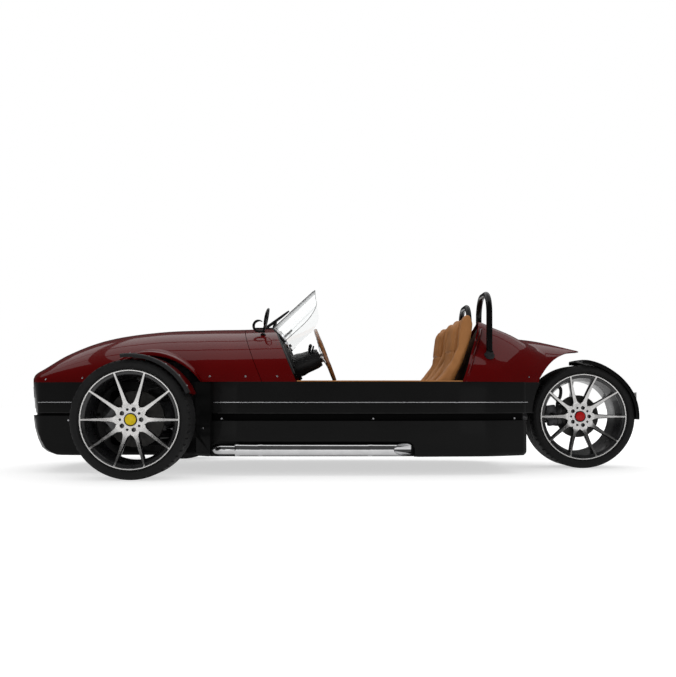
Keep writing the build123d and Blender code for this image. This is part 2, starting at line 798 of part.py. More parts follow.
def half_shafts():
    shaft = rod((front_axle_x, engine_half_width, wheel_z), (front_axle_x, 628, wheel_z), 13)
    start = (front_axle_x, engine_half_width, wheel_z)
    shaft += rod(start, (front_axle_x, engine_half_width + 80, wheel_z), 42)
    shaft += rod((front_axle_x, 560, wheel_z), (front_axle_x, 622, wheel_z), 36)
    return Compound([shaft, mirrored(shaft)])


# Knuckle: upright, two stub pins in the wishbone bosses, spindle, steering arm and brake caliper
disc_y = 716.0
upright_y0 = 668.0
upright_y1 = 690.0


def caliper(disc_radius, side_length, side_wall, inner_reach):
    half = disc_thickness / 2 + working_gap
    outer_radius = disc_radius + working_gap + caliper_wall
    ring = Cylinder(outer_radius, 2 * (half + side_wall)) - Cylinder(disc_radius - inner_reach, 200)
    ring -= Cylinder(disc_radius + working_gap, 2 * half)
    sector = Pos(-outer_radius, 0, 0) * Box(140, side_length, 200)
    return ring & sector


def knuckle(side):
    x = front_axle_x
    inner_y = kingpin_y + ball_boss_radius + 1.0
    body = box(x - 30, x + 30, upright_y0, upright_y1, lower_ball_z - 30, upper_ball_z + 30)
    body = fillet(body.edges().filter_by(Axis.Y), 18)
    body += rod((x, upright_y0 - 8, wheel_z), (x, upright_y1 + 2, wheel_z), 52)
    for z, sign in ((lower_ball_z, -1), (upper_ball_z, 1)):
        ear_z = z + sign * (ball_boss_height / 2 + 8)
        body += box(x - 18, x + 18, kingpin_y - 16, upright_y1, ear_z - 6, ear_z + 6)
        body -= box(x - 26, x + 26, kingpin_y - 60, inner_y, z - 13, z + 13)
        body += rod((x, kingpin_y, z - 20), (x, kingpin_y, z + 20), kingpin_radius)
    body += rod((x, 680, wheel_z), (x, 786, wheel_z), spindle_radius)
    arm_end = x + steering_arm_length
    body += rod((x + 25, 679, rack_z), (arm_end, 640, rack_z), 11)
    body += Pos(arm_end, 640, rack_z) * Cylinder(14, 24)
    brake = caliper(front_disc_radius, caliper_length, caliper_wall, 55)
    body += Pos(x, disc_y, wheel_z) * Rot(90, 0, 0) * brake
    body += box(x - 120, x - 25, upright_y0 + 4, upright_y1, wheel_z - 34, wheel_z + 34)
    return body if side > 0 else mirrored(body)


# Cycle wing over a front tyre: an arched shell with turned-down edges, on two stays
fender_inner = 337.0
fender_thickness = 5.0
fender_y0 = 660.0
fender_y1 = 895.0
fender_start = 27.0
fender_end = 97.0


# A ring revolved from a profile at radius X and width Y; angles are counted up from the tail
def arc_about_axle(profile, start_angle, end_angle):
    ring = revolve(profile, axis=Axis((0, 0, 0), (0, -1, 0)), revolution_arc=end_angle - start_angle)
    return Rot(0, -start_angle, 0) * ring


def front_fender(side):
    outer = fender_inner + fender_thickness
    profile = make_face(Polyline(
        (fender_inner - 22, fender_y0), (fender_inner, fender_y0 + 12), (fender_inner, fender_y1 - 12),
        (fender_inner - 14, fender_y1 - 5), (fender_inner - 14, fender_y1), (outer - 4, fender_y1),
        (outer, fender_y1 - 14), (outer, fender_y0 + 12), (fender_inner - 20, fender_y0 - 5), close=True))
    wing = Pos(front_axle_x, 0, wheel_z) * arc_about_axle(profile, fender_start, fender_end)
    foot_z = upper_ball_z + ball_boss_height / 2 + 14
    foot_y = kingpin_y + 1
    wing += box(front_axle_x - 16, front_axle_x + 16, foot_y - 6, foot_y + 6, foot_z, foot_z + 24)
    for angle in (38, 82):
        c = math.cos(math.radians(angle))
        s = math.sin(math.radians(angle))
        reach = fender_inner - 12
        far = (front_axle_x + reach * c, foot_y, wheel_z + reach * s)
        wing += rod((front_axle_x, foot_y, foot_z + 14), far, 5)
    return wing if side > 0 else mirrored(wing)


# Wheels are drawn about Z with their outer face up, then turned to face outboard
def tyre(width, rim_width):
    half = width / 2
    bead = rim_width / 2 - 12
    edge = rim_width / 2 - 5
    r = rim_seat_radius
    side = [
        (r, bead), (rim_flange_radius + 0.5, edge), (rim_flange_radius + 3, edge + 9), (286, half),
        (302, half - 4), (tyre_radius - 3, half - 15), (tyre_radius, half - 30),
    ]
    wall = carcass_wall
    lining = [
        (tyre_radius - wall, half - 2.4 * wall), (284, half - wall), (rim_flange_radius, edge - wall),
        (r, bead - wall),
    ]
    outline = side + [(radius, -y) for radius, y in reversed(side)]
    outline += [(radius, -y) for radius, y in reversed(lining)] + lining
    return revolve(Plane.XZ * make_face(Polyline(*outline, close=True)), axis=Axis.Z)


def rim(rim_width, face_depth):
    half = rim_width / 2
    seat_end = half - 12
    w = rim_wall
    outline = [
        (rim_flange_radius, half), (rim_flange_radius - 9, half), (rim_seat_radius - w + 4, half - 6),
        (rim_seat_radius - w, half - 24), (rim_well_radius - w, half - 70), (rim_well_radius - w, -half + 26),
        (rim_seat_radius - w, -half + 12), (rim_seat_radius - w, -half), (rim_flange_radius, -half),
        (rim_flange_radius, -half + 5), (rim_seat_radius, -seat_end), (rim_seat_radius, -half + 34),
        (rim_well_radius, -half + 46), (rim_well_radius, half - 62), (rim_seat_radius, half - 34),
        (rim_seat_radius, seat_end), (rim_flange_radius, half - 5),
    ]
    barrel = revolve(Plane.XZ * make_face(Polyline(*outline, close=True)), axis=Axis.Z)
    face_z = half - face_depth
    depth = wheel_hub_thickness
    spoke_zone = make_face(Polyline(
        (0, face_z - depth), (wheel_hub_radius, face_z - depth), (rim_seat_radius - 6, half - 44),
        (rim_seat_radius - 6, half - 5), (rim_seat_radius - 14, half - 6), (wheel_hub_radius, face_z),
        (0, face_z), close=True))
    zone = revolve(Plane.XZ * spoke_zone, axis=Axis.Z)
    plan = Circle(wheel_hub_radius)
    root = wheel_hub_radius - 6
    tip = rim_seat_radius - 4
    flare = 20.0
    for index in range(spoke_count):
        spoke = make_face(Polyline(
            (root, -spoke_root_width / 2 - 5), (root + flare, -spoke_root_width / 2 + 2),
            (tip, -spoke_tip_width / 2), (tip, spoke_tip_width / 2),
            (root + flare, spoke_root_width / 2 - 2), (root, spoke_root_width / 2 + 5), close=True))
        plan += Rot(0, 0, index * 360 / spoke_count) * spoke
    spider = extrude(plan, amount=400, both=True) & zone
    for index in range(spoke_count):
        radius = lug_pocket_radius if index % 2 == 0 else lug_pocket_radius * 0.6
        turn = 180 / spoke_count + index * 360 / spoke_count
        spider -= Rot(0, 0, turn) * Pos(lug_circle_radius, 0, face_z) * Cylinder(radius, 44)
    return barrel + spider


def front_hub(side):
    face = front_wheel_y + front_rim_width / 2 - front_face_depth - wheel_hub_thickness
    start = disc_y - disc_thickness / 2
    hub = rod((front_axle_x, start, wheel_z), (front_axle_x, face, wheel_z), hub_barrel_radius)
    disc_end = start + disc_thickness
    hub += rod((front_axle_x, start, wheel_z), (front_axle_x, disc_end, wheel_z), front_disc_radius)
    hub += rod((front_axle_x, face - 12, wheel_z), (front_axle_x, face, wheel_z), wheel_hub_radius - 6)
    hub -= rod((front_axle_x, 600, wheel_z), (front_axle_x, 790, wheel_z), spindle_radius + running_fit)
    return hub if side > 0 else mirrored(hub)


def wheel_cap(rim_width, face_depth):
    face_z = rim_width / 2 - face_depth
    return Pos(0, 0, face_z + cap_thickness / 2) * Cylinder(cap_radius, cap_thickness)


def place_front(shape, side):
    turned = Pos(front_axle_x, front_wheel_y, wheel_z) * Rot(-90, 0, 0) * shape
    return turned if side > 0 else mirrored(turned)


def place_rear(shape):
    return Pos(rear_axle_x, 0, wheel_z) * Rot(90, 0, 0) * shape


# Rear wheel's hub, swing arm, damper and fender
rear_hub_face = -(rear_rim_width / 2 - rear_face_depth - wheel_hub_thickness)
rear_disc_y = 14.0
rear_spindle_radius = 24.0
arm_y = 190.0
arm_pivot_x = 1116.0
arm_pivot_radius = 34.0
rear_fender_inner = 323.0
rear_fender_thickness = 6.0
rear_fender_half_width = 138.0
rear_fender_start = -3.0
rear_fender_end = 108.0


def rear_hub():
    x = rear_axle_x
    hub = rod((x, rear_hub_face, wheel_z), (x, 92, wheel_z), hub_barrel_radius + 4)
    hub += rod((x, rear_disc_y - disc_thickness / 2, wheel_z), (x, rear_disc_y + disc_thickness / 2, wheel_z),
               rear_disc_radius)
    hub += rod((x, rear_hub_face, wheel_z), (x, rear_hub_face + 10, wheel_z), wheel_hub_radius - 6)
    hub -= rod((x, rear_hub_face + 4, wheel_z), (x, 100, wheel_z), rear_spindle_radius + running_fit)
    return hub


def swing_arm():
    x = rear_axle_x
    arm = rod((arm_pivot_x, -150, wheel_z), (arm_pivot_x, arm_y + 25, wheel_z), arm_pivot_radius)
    side = make_face(Polyline(
        (arm_pivot_x - 10, wheel_z - 34), (arm_pivot_x - 10, wheel_z + 34), (arm_pivot_x + 120, wheel_z + 52),
        (x - 60, wheel_z + 46), (x + 40, wheel_z + 40), (x + 40, wheel_z - 40), (x - 60, wheel_z - 46),
        (arm_pivot_x + 120, wheel_z - 44), close=True))
    beam = Pos(0, arm_y + 24, 0) * extrude(Plane.XZ * side, amount=44)
    arm += fillet(beam.edges().filter_by(Axis.Y), 16)
    arm += rod((x, rear_hub_face + 6, wheel_z), (x, arm_y, wheel_z), rear_spindle_radius)
    arm += rod((x, 98, wheel_z), (x, arm_y, wheel_z), 46)
    brake = caliper(rear_disc_radius, 120, 8.0, 28)
    brake = Pos(x, rear_disc_y, wheel_z) * Rot(90, 0, 0) * brake
    bracket = box(x - 150, x - 104, rear_disc_y + 20, 104, wheel_z - 24, wheel_z + 24)
    bracket += box(x - 150, x, 98, 120, wheel_z - 24, wheel_z + 24)
    arm += brake + bracket
    for y in (-120, 120):
        arm += box(body_rear_x, arm_pivot_x, y - 14, y + 14, wheel_z - 30, wheel_z + 30)
    return arm


rear_coils = 6


def rear_damper():
    seat_z = wheel_z + 53
    low = Vector(arm_pivot_x + 112, arm_y, seat_z + 16)
    high = Vector(body_rear_x + 22, arm_y, 560)
    axis = high - low
    body = rod(tuple(low), tuple(high), 13)
    for step in range(rear_coils):
        start = low + axis * (0.2 + step * 0.55 / (rear_coils - 1))
        body += rod(tuple(start), tuple(start + axis.normalized() * 9), 25)
    body += box(low.X - 15, low.X + 15, arm_y - 16, arm_y + 16, seat_z, seat_z + 26)
    body += box(body_rear_x, body_rear_x + 40, arm_y - 20, arm_y + 20, 548, 572)
    return body - box(0, 3000, -900, 900, 0, seat_z)


def rear_fender():
    outer = rear_fender_inner + rear_fender_thickness
    half = rear_fender_half_width
    profile = make_face(Polyline(
        (rear_fender_inner - 18, -half - 6), (rear_fender_inner, -half), (rear_fender_inner, half),
        (rear_fender_inner - 18, half + 6), (rear_fender_inner - 18, half + 12), (outer, half + 4),
        (outer, -half - 4), (rear_fender_inner - 18, -half - 12), close=True))
    wing = Pos(rear_axle_x, 0, wheel_z) * arc_about_axle(profile, rear_fender_start, rear_fender_end)
    for angle in (25, 85):
        c = math.cos(math.radians(angle))
        s = math.sin(math.radians(angle))
        far = (rear_axle_x + (outer - 8) * c, half + 8, wheel_z + (outer - 8) * s)
        near = (rear_axle_x + 20 * c, arm_y - 2, wheel_z + 40 * s)
        wing += rod(near, far, 8)
    return wing - box(0, 3000, arm_y - 20, arm_y + 24, wheel_z - 46, wheel_z + 46)


plate_x = 1826.0
plate_thickness = 4.0
plate_z = 440.0
plate_bolt_spacing = 120.0
plate_hole_radius = 3.5


def tail_lamp():
    lamp = box(rear_axle_x + 300, plate_x, -70, 70, wheel_z + 10, wheel_z + 44)
    lamp = fillet(lamp.edges().filter_by(Axis.X), 8)
    plate = box(plate_x, plate_x + plate_thickness, -85, 85, wheel_z + 10, plate_z + 20)
    for side in (-1, 1):
        lamp += box(rear_axle_x + 270, plate_x, side * 40 - 6, side * 40 + 6, plate_z - 40, plate_z - 28)
        y = side * plate_bolt_spacing / 2
        plate -= rod((plate_x - 5, y, plate_z), (plate_x + 10, y, plate_z), plate_hole_radius)
    lamp += plate
    return lamp - rod((rear_axle_x, -200, wheel_z), (rear_axle_x, 200, wheel_z),
                      rear_fender_inner + rear_fender_thickness)


def save(name, shape):
    export_step(shape, f"parts/{name}.step")


def main():
    os.makedirs("parts", exist_ok=True)
    lower = lower_shell()
    left, right = side_panels(lower)
    save("side_panel_left", left)
    save("side_panel_right", right)
    nose = nose_panel(lower)
    save("nose_panel", nose)
    save("grille", grille(nose))
    save("headlamps", headlamps())
    save("floor_pan", floor_pan())
    firewall, rear = bulkheads()
    save("firewall", firewall)
    save("rear_bulkhead", rear)
    hood, cowl = hood_and_cowl()
    save("hood", hood)
    save("cowl", cowl)
    save("rear_deck", rear_deck())
    save("roll_hoops", roll_hoops())
    save("dashboard", dashboard())
    save("windscreen", windscreen())
    save("mirrors", door_mirrors())
    save("sill_trim", sill_trim())
    save("steering_column", steering_column())
    save("steering_wheel", steering_wheel())
    save("pedals", pedals())
    save("exhausts", exhausts())
    save("engine_block", engine_block())
    save("wishbones", wishbones())
    save("front_frame", front_frame())
    save("dampers", dampers())
    save("rack", rack())
    save("half_shafts", half_shafts())
    front_tyre = tyre(front_tyre_width, front_rim_width)
    front_rim = rim(front_rim_width, front_face_depth) + wheel_cap(front_rim_width, front_face_depth)
    for name, side in (("left", -1), ("right", 1)):
        save(f"seat_{name}", seat(side))
        save(f"knuckle_{name}", knuckle(side))
        save(f"front_fender_{name}", front_fender(side))
        save(f"front_tyre_{name}", place_front(front_tyre, side))
        save(f"front_rim_{name}", place_front(front_rim, side))
        save(f"front_hub_{name}", front_hub(side))
    save("rear_tyre", place_rear(tyre(rear_tyre_width, rear_rim_width)))
    rear_rim = rim(rear_rim_width, rear_face_depth) + wheel_cap(rear_rim_width, rear_face_depth)
    save("rear_rim", place_rear(rear_rim))
    save("rear_hub", rear_hub())
    save("swing_arm", swing_arm())
    save("rear_damper", rear_damper())
    save("rear_fender", rear_fender())
    save("tail_lamp", tail_lamp())


main()
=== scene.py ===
import math

import bmesh
import bpy
from mathutils import Matrix, Vector


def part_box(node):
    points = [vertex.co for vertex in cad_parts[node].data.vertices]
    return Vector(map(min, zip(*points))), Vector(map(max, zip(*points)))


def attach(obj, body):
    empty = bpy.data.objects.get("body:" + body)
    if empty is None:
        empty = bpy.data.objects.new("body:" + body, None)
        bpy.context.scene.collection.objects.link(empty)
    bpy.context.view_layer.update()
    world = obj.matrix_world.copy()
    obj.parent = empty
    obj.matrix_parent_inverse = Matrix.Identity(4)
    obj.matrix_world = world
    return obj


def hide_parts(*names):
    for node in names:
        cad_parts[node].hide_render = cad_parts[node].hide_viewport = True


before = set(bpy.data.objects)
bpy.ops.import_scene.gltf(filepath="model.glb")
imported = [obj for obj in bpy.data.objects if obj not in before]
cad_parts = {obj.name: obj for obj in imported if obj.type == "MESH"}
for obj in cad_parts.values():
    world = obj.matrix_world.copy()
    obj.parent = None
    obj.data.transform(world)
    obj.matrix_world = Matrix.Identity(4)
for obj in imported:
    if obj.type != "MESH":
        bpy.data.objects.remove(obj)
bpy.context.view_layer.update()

# Camera, floor and light. The camera stands level and square to the car's left side, as in the
# photograph. Floor and sky are a plain pale studio, lit by long soft panels above and beside the car.
photo_width = 676
photo_height = 677
focal_px = 839.0
horizon_px = (330.0, 399.0)
camera_place = (-0.039, -5.2, 0.420)
lens_data = bpy.data.cameras.new("camera")
lens_data.sensor_width = 36.0
lens_data.lens = focal_px / photo_height * lens_data.sensor_width
lens_data.shift_x = (photo_width / 2 - horizon_px[0]) / photo_height
lens_data.shift_y = (horizon_px[1] - photo_height / 2) / photo_height
lens_data.clip_end = 200
camera = bpy.data.objects.new("camera", lens_data)
camera.location = camera_place
camera.rotation_euler = (math.radians(90), 0, 0)
bpy.context.scene.collection.objects.link(camera)
bpy.context.scene.camera = camera
bpy.context.scene.view_settings.view_transform = "Standard"

world = bpy.data.worlds.new("studio")
bpy.context.scene.world = world
world.use_nodes = True
sky = world.node_tree
sky.nodes.clear()
sky_out = sky.nodes.new("ShaderNodeOutputWorld")
sky_mix = sky.nodes.new("ShaderNodeMixShader")
sky_seen = sky.nodes.new("ShaderNodeBackground")
sky_seen.inputs["Color"].default_value = (1, 1, 1, 1)
sky_seen.inputs["Strength"].default_value = 1.0
sky_fill = sky.nodes.new("ShaderNodeBackground")
sky_fill.inputs["Color"].default_value = (1, 1, 1, 1)
sky_ray = sky.nodes.new("ShaderNodeLightPath")
sky_level = sky.nodes.new("ShaderNodeMapRange")
sky_level.inputs["To Min"].default_value = 0.55
sky_level.inputs["To Max"].default_value = 0.06
sky.links.new(sky_ray.outputs["Is Glossy Ray"], sky_level.inputs["Value"])
sky.links.new(sky_level.outputs["Result"], sky_fill.inputs["Strength"])
sky_either = sky.nodes.new("ShaderNodeMath")
sky_either.operation = "MAXIMUM"
sky.links.new(sky_ray.outputs["Is Camera Ray"], sky_either.inputs[0])
sky.links.new(sky_ray.outputs["Is Transmission Ray"], sky_either.inputs[1])
sky.links.new(sky_either.outputs[0], sky_mix.inputs[0])
sky.links.new(sky_fill.outputs[0], sky_mix.inputs[1])
sky.links.new(sky_seen.outputs[0], sky_mix.inputs[2])
sky.links.new(sky_mix.outputs[0], sky_out.inputs["Surface"])

lamp_rows = (
    # name, place, aim, size, size_y, watts
    ("panel_near", (0.70, -0.60, 3.4), (0.70, -0.60, 0.0), 6.90, 1.40, 30),
    ("panel_middle", (0.70, 0.86, 3.4), (0.70, 0.86, 0.0), 6.90, 1.28, 28),
    ("panel_far", (0.70, 2.98, 3.4), (0.70, 2.98, 0.0), 6.90, 2.64, 56),
    ("nose_near", (-3.47, -0.35, 3.4), (-3.47, -0.35, 0.0), 0.95, 1.00, 3.2),
    ("nose_middle", (-3.47, 0.86, 3.4), (-3.47, 0.86, 0.0), 0.95, 1.28, 4.1),
    ("nose_far", (-3.47, 2.70, 3.4), (-3.47, 2.70, 0.0), 0.95, 2.20, 7.0),
    ("side_front", (-2.3, -5.5, 0.28), (-1.15, -0.9, 0.33), 1.2, 0.56, 2.6),
    ("side_rear", (3.1, -5.5, 0.28), (1.495, -0.2, 0.33), 1.2, 0.56, 2.6),
    ("low_fill", (0.0, -5.4, 1.8), (0.0, 0.0, 0.4), 6.0, 2.0, 62),
)
for lamp_name, lamp_place, lamp_aim, size, size_y, watts in lamp_rows:
    lamp_data = bpy.data.lights.new(lamp_name, "AREA")
    lamp_data.shape = "RECTANGLE"
    lamp_data.size = size
    lamp_data.size_y = size_y
    lamp_data.energy = watts
    lamp = bpy.data.objects.new(lamp_name, lamp_data)
    lamp.location = lamp_place
    lamp.rotation_mode = "QUATERNION"
    lamp.rotation_quaternion = (Vector(lamp_aim) - Vector(lamp_place)).to_track_quat("-Z", "Y")
    bpy.context.scene.collection.objects.link(lamp)
    lamp.visible_glossy = lamp_name != "low_fill"

floor_size = 60.0
shadow_reach = 1.5
white_from = 6.0
floor_shine_share = 0.55
bm = bmesh.new()
bmesh.ops.create_grid(bm, x_segments=1, y_segments=1, size=floor_size / 2)
floor_mesh = bpy.data.meshes.new("floor")
bm.to_mesh(floor_mesh)
bm.free()
studio_floor = bpy.data.objects.new("floor", floor_mesh)
bpy.context.scene.collection.objects.link(studio_floor)
floor_finish = bpy.data.materials.new("studio_floor")
floor_finish.use_nodes = True
floor_tree = floor_finish.node_tree
floor_tree.nodes.clear()
floor_out = floor_tree.nodes.new("ShaderNodeOutputMaterial")
floor_add = floor_tree.nodes.new("ShaderNodeAddShader")
floor_diffuse = floor_tree.nodes.new("ShaderNodeBsdfDiffuse")
floor_diffuse.inputs["Color"].default_value = (0.55, 0.55, 0.55, 1)
floor_glow = floor_tree.nodes.new("ShaderNodeEmission")
floor_ray = floor_tree.nodes.new("ShaderNodeLightPath")
floor_place = floor_tree.nodes.new("ShaderNodeTexCoord")
floor_away = floor_tree.nodes.new("ShaderNodeVectorMath")
floor_away.operation = "LENGTH"
floor_fade = floor_tree.nodes.new("ShaderNodeMapRange")
floor_fade.interpolation_type = "SMOOTHSTEP"
floor_fade.inputs["From Min"].default_value = shadow_reach
floor_fade.inputs["From Max"].default_value = white_from
floor_fade.inputs["To Min"].default_value = 0.58
floor_fade.inputs["To Max"].default_value = 1.0
floor_level = floor_tree.nodes.new("ShaderNodeMath")
floor_level.operation = "MULTIPLY"
floor_tree.links.new(floor_place.outputs["Object"], floor_away.inputs[0])
floor_tree.links.new(floor_away.outputs["Value"], floor_fade.inputs["Value"])
floor_tree.links.new(floor_fade.outputs["Result"], floor_level.inputs[1])
floor_seen = floor_tree.nodes.new("ShaderNodeMath")
floor_seen.operation = "MAXIMUM"
floor_tree.links.new(floor_ray.outputs["Is Camera Ray"], floor_seen.inputs[0])
floor_shine = floor_tree.nodes.new("ShaderNodeMath")
floor_shine.operation = "MULTIPLY"
floor_shine.inputs[1].default_value = floor_shine_share
floor_tree.links.new(floor_ray.outputs["Is Glossy Ray"], floor_shine.inputs[0])
floor_tree.links.new(floor_shine.outputs[0], floor_seen.inputs[1])
floor_tree.links.new(floor_seen.outputs[0], floor_level.inputs[0])
floor_tree.links.new(floor_level.outputs[0], floor_glow.inputs["Strength"])
floor_tree.links.new(floor_diffuse.outputs[0], floor_add.inputs[0])
floor_tree.links.new(floor_glow.outputs[0], floor_add.inputs[1])
floor_tree.links.new(floor_add.outputs[0], floor_out.inputs["Surface"])
floor_mesh.materials.append(floor_finish)


# Hood and cowl: thin moulded shells in deep maroon lacquer, bolted along the belt line. Their
# sections are half ellipses that grow from a blunt, rolled nose, with an open arch at each wheel.
belt_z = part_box("side_panel_left")[1].z
tyre_low, tyre_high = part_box("front_tyre_left")
wheel_radius = (tyre_high.z - tyre_low.z) / 2
front_axle_x = (tyre_low.x + tyre_high.x) / 2
front_wheel_y = abs(tyre_low.y + tyre_high.y) / 2
wheel_z = (tyre_low.z + tyre_high.z) / 2
rear_low, rear_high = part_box("rear_tyre")
rear_axle_x = (rear_low.x + rear_high.x) / 2
side_lip = 0.005
shell_wall = 0.006
nose_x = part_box("nose_panel")[0].x
nose_radius = 0.900
nose_centre_x = nose_x + nose_radius
corner_radius = 0.090
nose_roll = 0.040
nose_drop = 0.024
seam_lean = 0.436
hood_seam_lean = 0.420
flare_centre_x = front_axle_x + 0.040
flare_radius = 0.346
cowl_front_x = -0.552
cowl_rear_x = -0.370
cowl_top_z = 0.851
seam_gap = 0.003

# x, half width at the belt, corner radius
plan_rows = (
    (-1.900, 0.405, 0.0), (-1.340, 0.482, 0.60), (-0.800, 0.497, 0.04), (-0.690, 0.582, 0.06),
    (-0.560, 0.602, 0.30), (-0.200, 0.612, 0.80), (0.400, 0.612, 0.80), (0.857, 0.568, 0.40),
    (1.078, 0.462, 0.0),
)
# The same for the hood, which keeps a fair line over the wheel where the lower body steps in
hood_plan = (
    (-1.900, 0.405, 0.0), (-1.340, 0.484, 0.80), (-0.760, 0.583, 0.80), (-0.560, 0.602, 0.60),
    (-0.200, 0.612, 0.80),
    (0.400, 0.612, 0.0),
)
# x, height of the crown
hood_rows = (
    (-1.840, 0.532), (-1.740, 0.598), (-1.600, 0.699), (-1.380, 0.783), (-1.073, 0.829),
    (-0.760, 0.842), (-0.560, 0.845), (-0.370, 0.851), (-0.150, 0.857),
)


def along(rows, x, column=1):
    """A smooth curve through one column of a table, at x."""
    xs = [row[0] for row in rows]
    ys = [row[column] for row in rows]
    x = min(max(x, xs[0]), xs[-1])
    i = max(k for k in range(len(xs) - 1) if xs[k] <= x or k == 0)

    def slope(k):
        if k == 0:
            return (ys[1] - ys[0]) / (xs[1] - xs[0])
        if k == len(xs) - 1:
            return (ys[-1] - ys[-2]) / (xs[-1] - xs[-2])
        return (ys[k + 1] - ys[k - 1]) / (xs[k + 1] - xs[k - 1])
    span = xs[i + 1] - xs[i]
    t = (x - xs[i]) / span
    return ((2 * t**3 - 3 * t**2 + 1) * ys[i] + (t**3 - 2 * t**2 + t) * span * slope(i)
            + (3 * t**2 - 2 * t**3) * ys[i + 1] + (t**3 - t**2) * span * slope(i + 1))


def half_width(x, rows=plan_rows):
    """Half the body's width at the belt, with the plan's corners rounded."""
    for before, here, after in zip(rows, rows[1:], rows[2:]):
        if here[2] == 0:
            continue
        into = Vector((here[0] - before[0], here[1] - before[1])).normalized()
        out = Vector((after[0] - here[0], after[1] - here[1])).normalized()
        tangent = here[2] * math.tan(into.angle(out) / 2)
        start = Vector(here[:2]) - into * tangent
        end = Vector(here[:2]) + out * tangent
        if start.x <= x <= end.x:
            a = start.x - 2 * here[0] + end.x
            b = 2 * (here[0] - start.x)
            c = start.x - x
            t = -c / b if abs(a) < 1e-9 else (-b + math.sqrt(b * b - 4 * a * c)) / (2 * a)
            return (1 - t) ** 2 * start.y + 2 * t * (1 - t) * here[1] + t * t * end.y
    for before, here in zip(rows, rows[1:]):
        if x <= here[0]:
            return before[1] + (here[1] - before[1]) * (x - before[0]) / (here[0] - before[0])
    return rows[-1][1]


def smooth(t):
    t = min(max(t, 0.0), 1.0)
    return t * t * (3 - 2 * t)


corner_x = nose_centre_x - 0.7
for _ in range(30):
    corner_y = half_width(corner_x) - corner_radius * 1.01
    corner_x = nose_centre_x - math.sqrt((nose_radius - corner_radius) ** 2 - corner_y**2)


def round_corner(x, y):
    """Draws a point of the nose's plan back onto its rounded corners."""
    dx = x - corner_x
    dy = abs(y) - corner_y
    away = math.hypot(dx, dy)
    if dx < 0 < dy and away > corner_radius:
        x = corner_x + dx / away * corner_radius
        y = math.copysign(corner_y + dy / away * corner_radius, y)
    return x, y


def leaning(top_x, z, lean):
    return top_x + (cowl_top_z - z) * lean


def hood_section(x, turn):
    rise = along(hood_rows, x) - belt_z - side_lip
    return half_width(x, hood_plan) * math.sin(turn), belt_z + side_lip + rise * math.cos(turn)


def hood_height(x, y):
    """The height of the hood or cowl above a point of the plan."""
    rise = along(hood_rows, x) - belt_z - side_lip
    return belt_z + side_lip + rise * math.sqrt(max(0.0, 1 - (y / half_width(x, hood_plan)) ** 2))


def hood_point(u, v, start, end):
    """A point of the upper body: u runs from the front edge to the rear edge, v across."""
    turn = v * math.pi / 2
    x0 = -1.7
    x1 = -0.4
    for _ in range(12):
        y, z = hood_section(x0, turn)
        x0 = start(abs(y), z)
        y, z = hood_section(x1, turn)
        x1 = end(abs(y), z)
    x = x0 + (x1 - x0) * u
    y, z = hood_section(x, turn)
    x, y = round_corner(x, y)
    return Vector((x, y, z))


def round_nose(point):
    """Rolls the front edge of the hood down over the nose."""
    back = point.x - nose_edge(min(abs(point.y), 0.40), point.z)
    if back < nose_roll:
        share = 1 - max(back, 0.0) / nose_roll
        point.z = max(belt_z + 0.004, point.z - nose_drop * (1 - math.sqrt(1 - share * share)))
    return point


def shade(mesh, angle=32.0):
    for polygon in mesh.polygons:
        polygon.use_smooth = True
    mesh.set_sharp_from_angle(angle=math.radians(angle))


def finish_piece(bm, name, body, slot, nodes, *materials, angle=32.0):
    """Makes an object of a modelled mesh, shades it, and hangs it on its body."""
    mesh = bpy.data.meshes.new(name)
    bm.to_mesh(mesh)
    bm.free()
    piece = bpy.data.objects.new(name, mesh)
    bpy.context.scene.collection.objects.link(piece)
    for material in materials:
        mesh.materials.append(material)
    shade(mesh, angle)
    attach(piece, body)
    if nodes:
        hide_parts(*nodes)
    return piece


def principled(name, color, roughness, metallic=0.0, coat=0.0, specular=0.5):
    """A material with its even values set on the shader itself."""
    material = bpy.data.materials.new(name)
    material.use_nodes = True
    shader = material.node_tree.nodes["Principled BSDF"]
    shader.inputs["Base Color"].default_value = (*color, 1)
    shader.inputs["Roughness"].default_value = roughness
    shader.inputs["Metallic"].default_value = metallic
    shader.inputs["Coat Weight"].default_value = coat
    shader.inputs["Coat Roughness"].default_value = 0.03
    shader.inputs["Specular IOR Level"].default_value = specular
    return material


def textured(material, kind, scale, stretch):
    """A procedural texture placed by the object's own coordinates."""
    tree = material.node_tree
    place = tree.nodes.new("ShaderNodeTexCoord")
    turn = tree.nodes.new("ShaderNodeMapping")
    turn.inputs["Scale"].default_value = stretch
    texture = tree.nodes.new(kind)
    texture.inputs["Scale"].default_value = scale
    tree.links.new(place.outputs["Object"], turn.inputs["Vector"])
    tree.links.new(turn.outputs["Vector"], texture.inputs["Vector"])
    return texture


def vary(material, scale, low, high, rough_low, rough_high, stretch=(1, 1, 1)):
    """Blends two tones and two roughnesses over the surface by a soft noise."""
    tree = material.node_tree
    shader = tree.nodes["Principled BSDF"]
    noise = textured(material, "ShaderNodeTexNoise", scale, stretch)
    noise.inputs["Detail"].default_value = 4.0
    ramp = tree.nodes.new("ShaderNodeValToRGB")
    ramp.color_ramp.elements[0].position = 0.35
    ramp.color_ramp.elements[1].position = 0.68
    ramp.color_ramp.elements[0].color = (*low, 1)
    ramp.color_ramp.elements[1].color = (*high, 1)
    span = tree.nodes.new("ShaderNodeMapRange")
    span.inputs["From Min"].default_value = 0.3
    span.inputs["From Max"].default_value = 0.7
    span.inputs["To Min"].default_value = rough_low
    span.inputs["To Max"].default_value = rough_high
    tree.links.new(noise.outputs["Fac"], ramp.inputs["Fac"])
    tree.links.new(noise.outputs["Fac"], span.inputs["Value"])
    tree.links.new(ramp.outputs["Color"], shader.inputs["Base Color"])
    tree.links.new(span.outputs["Result"], shader.inputs["Roughness"])


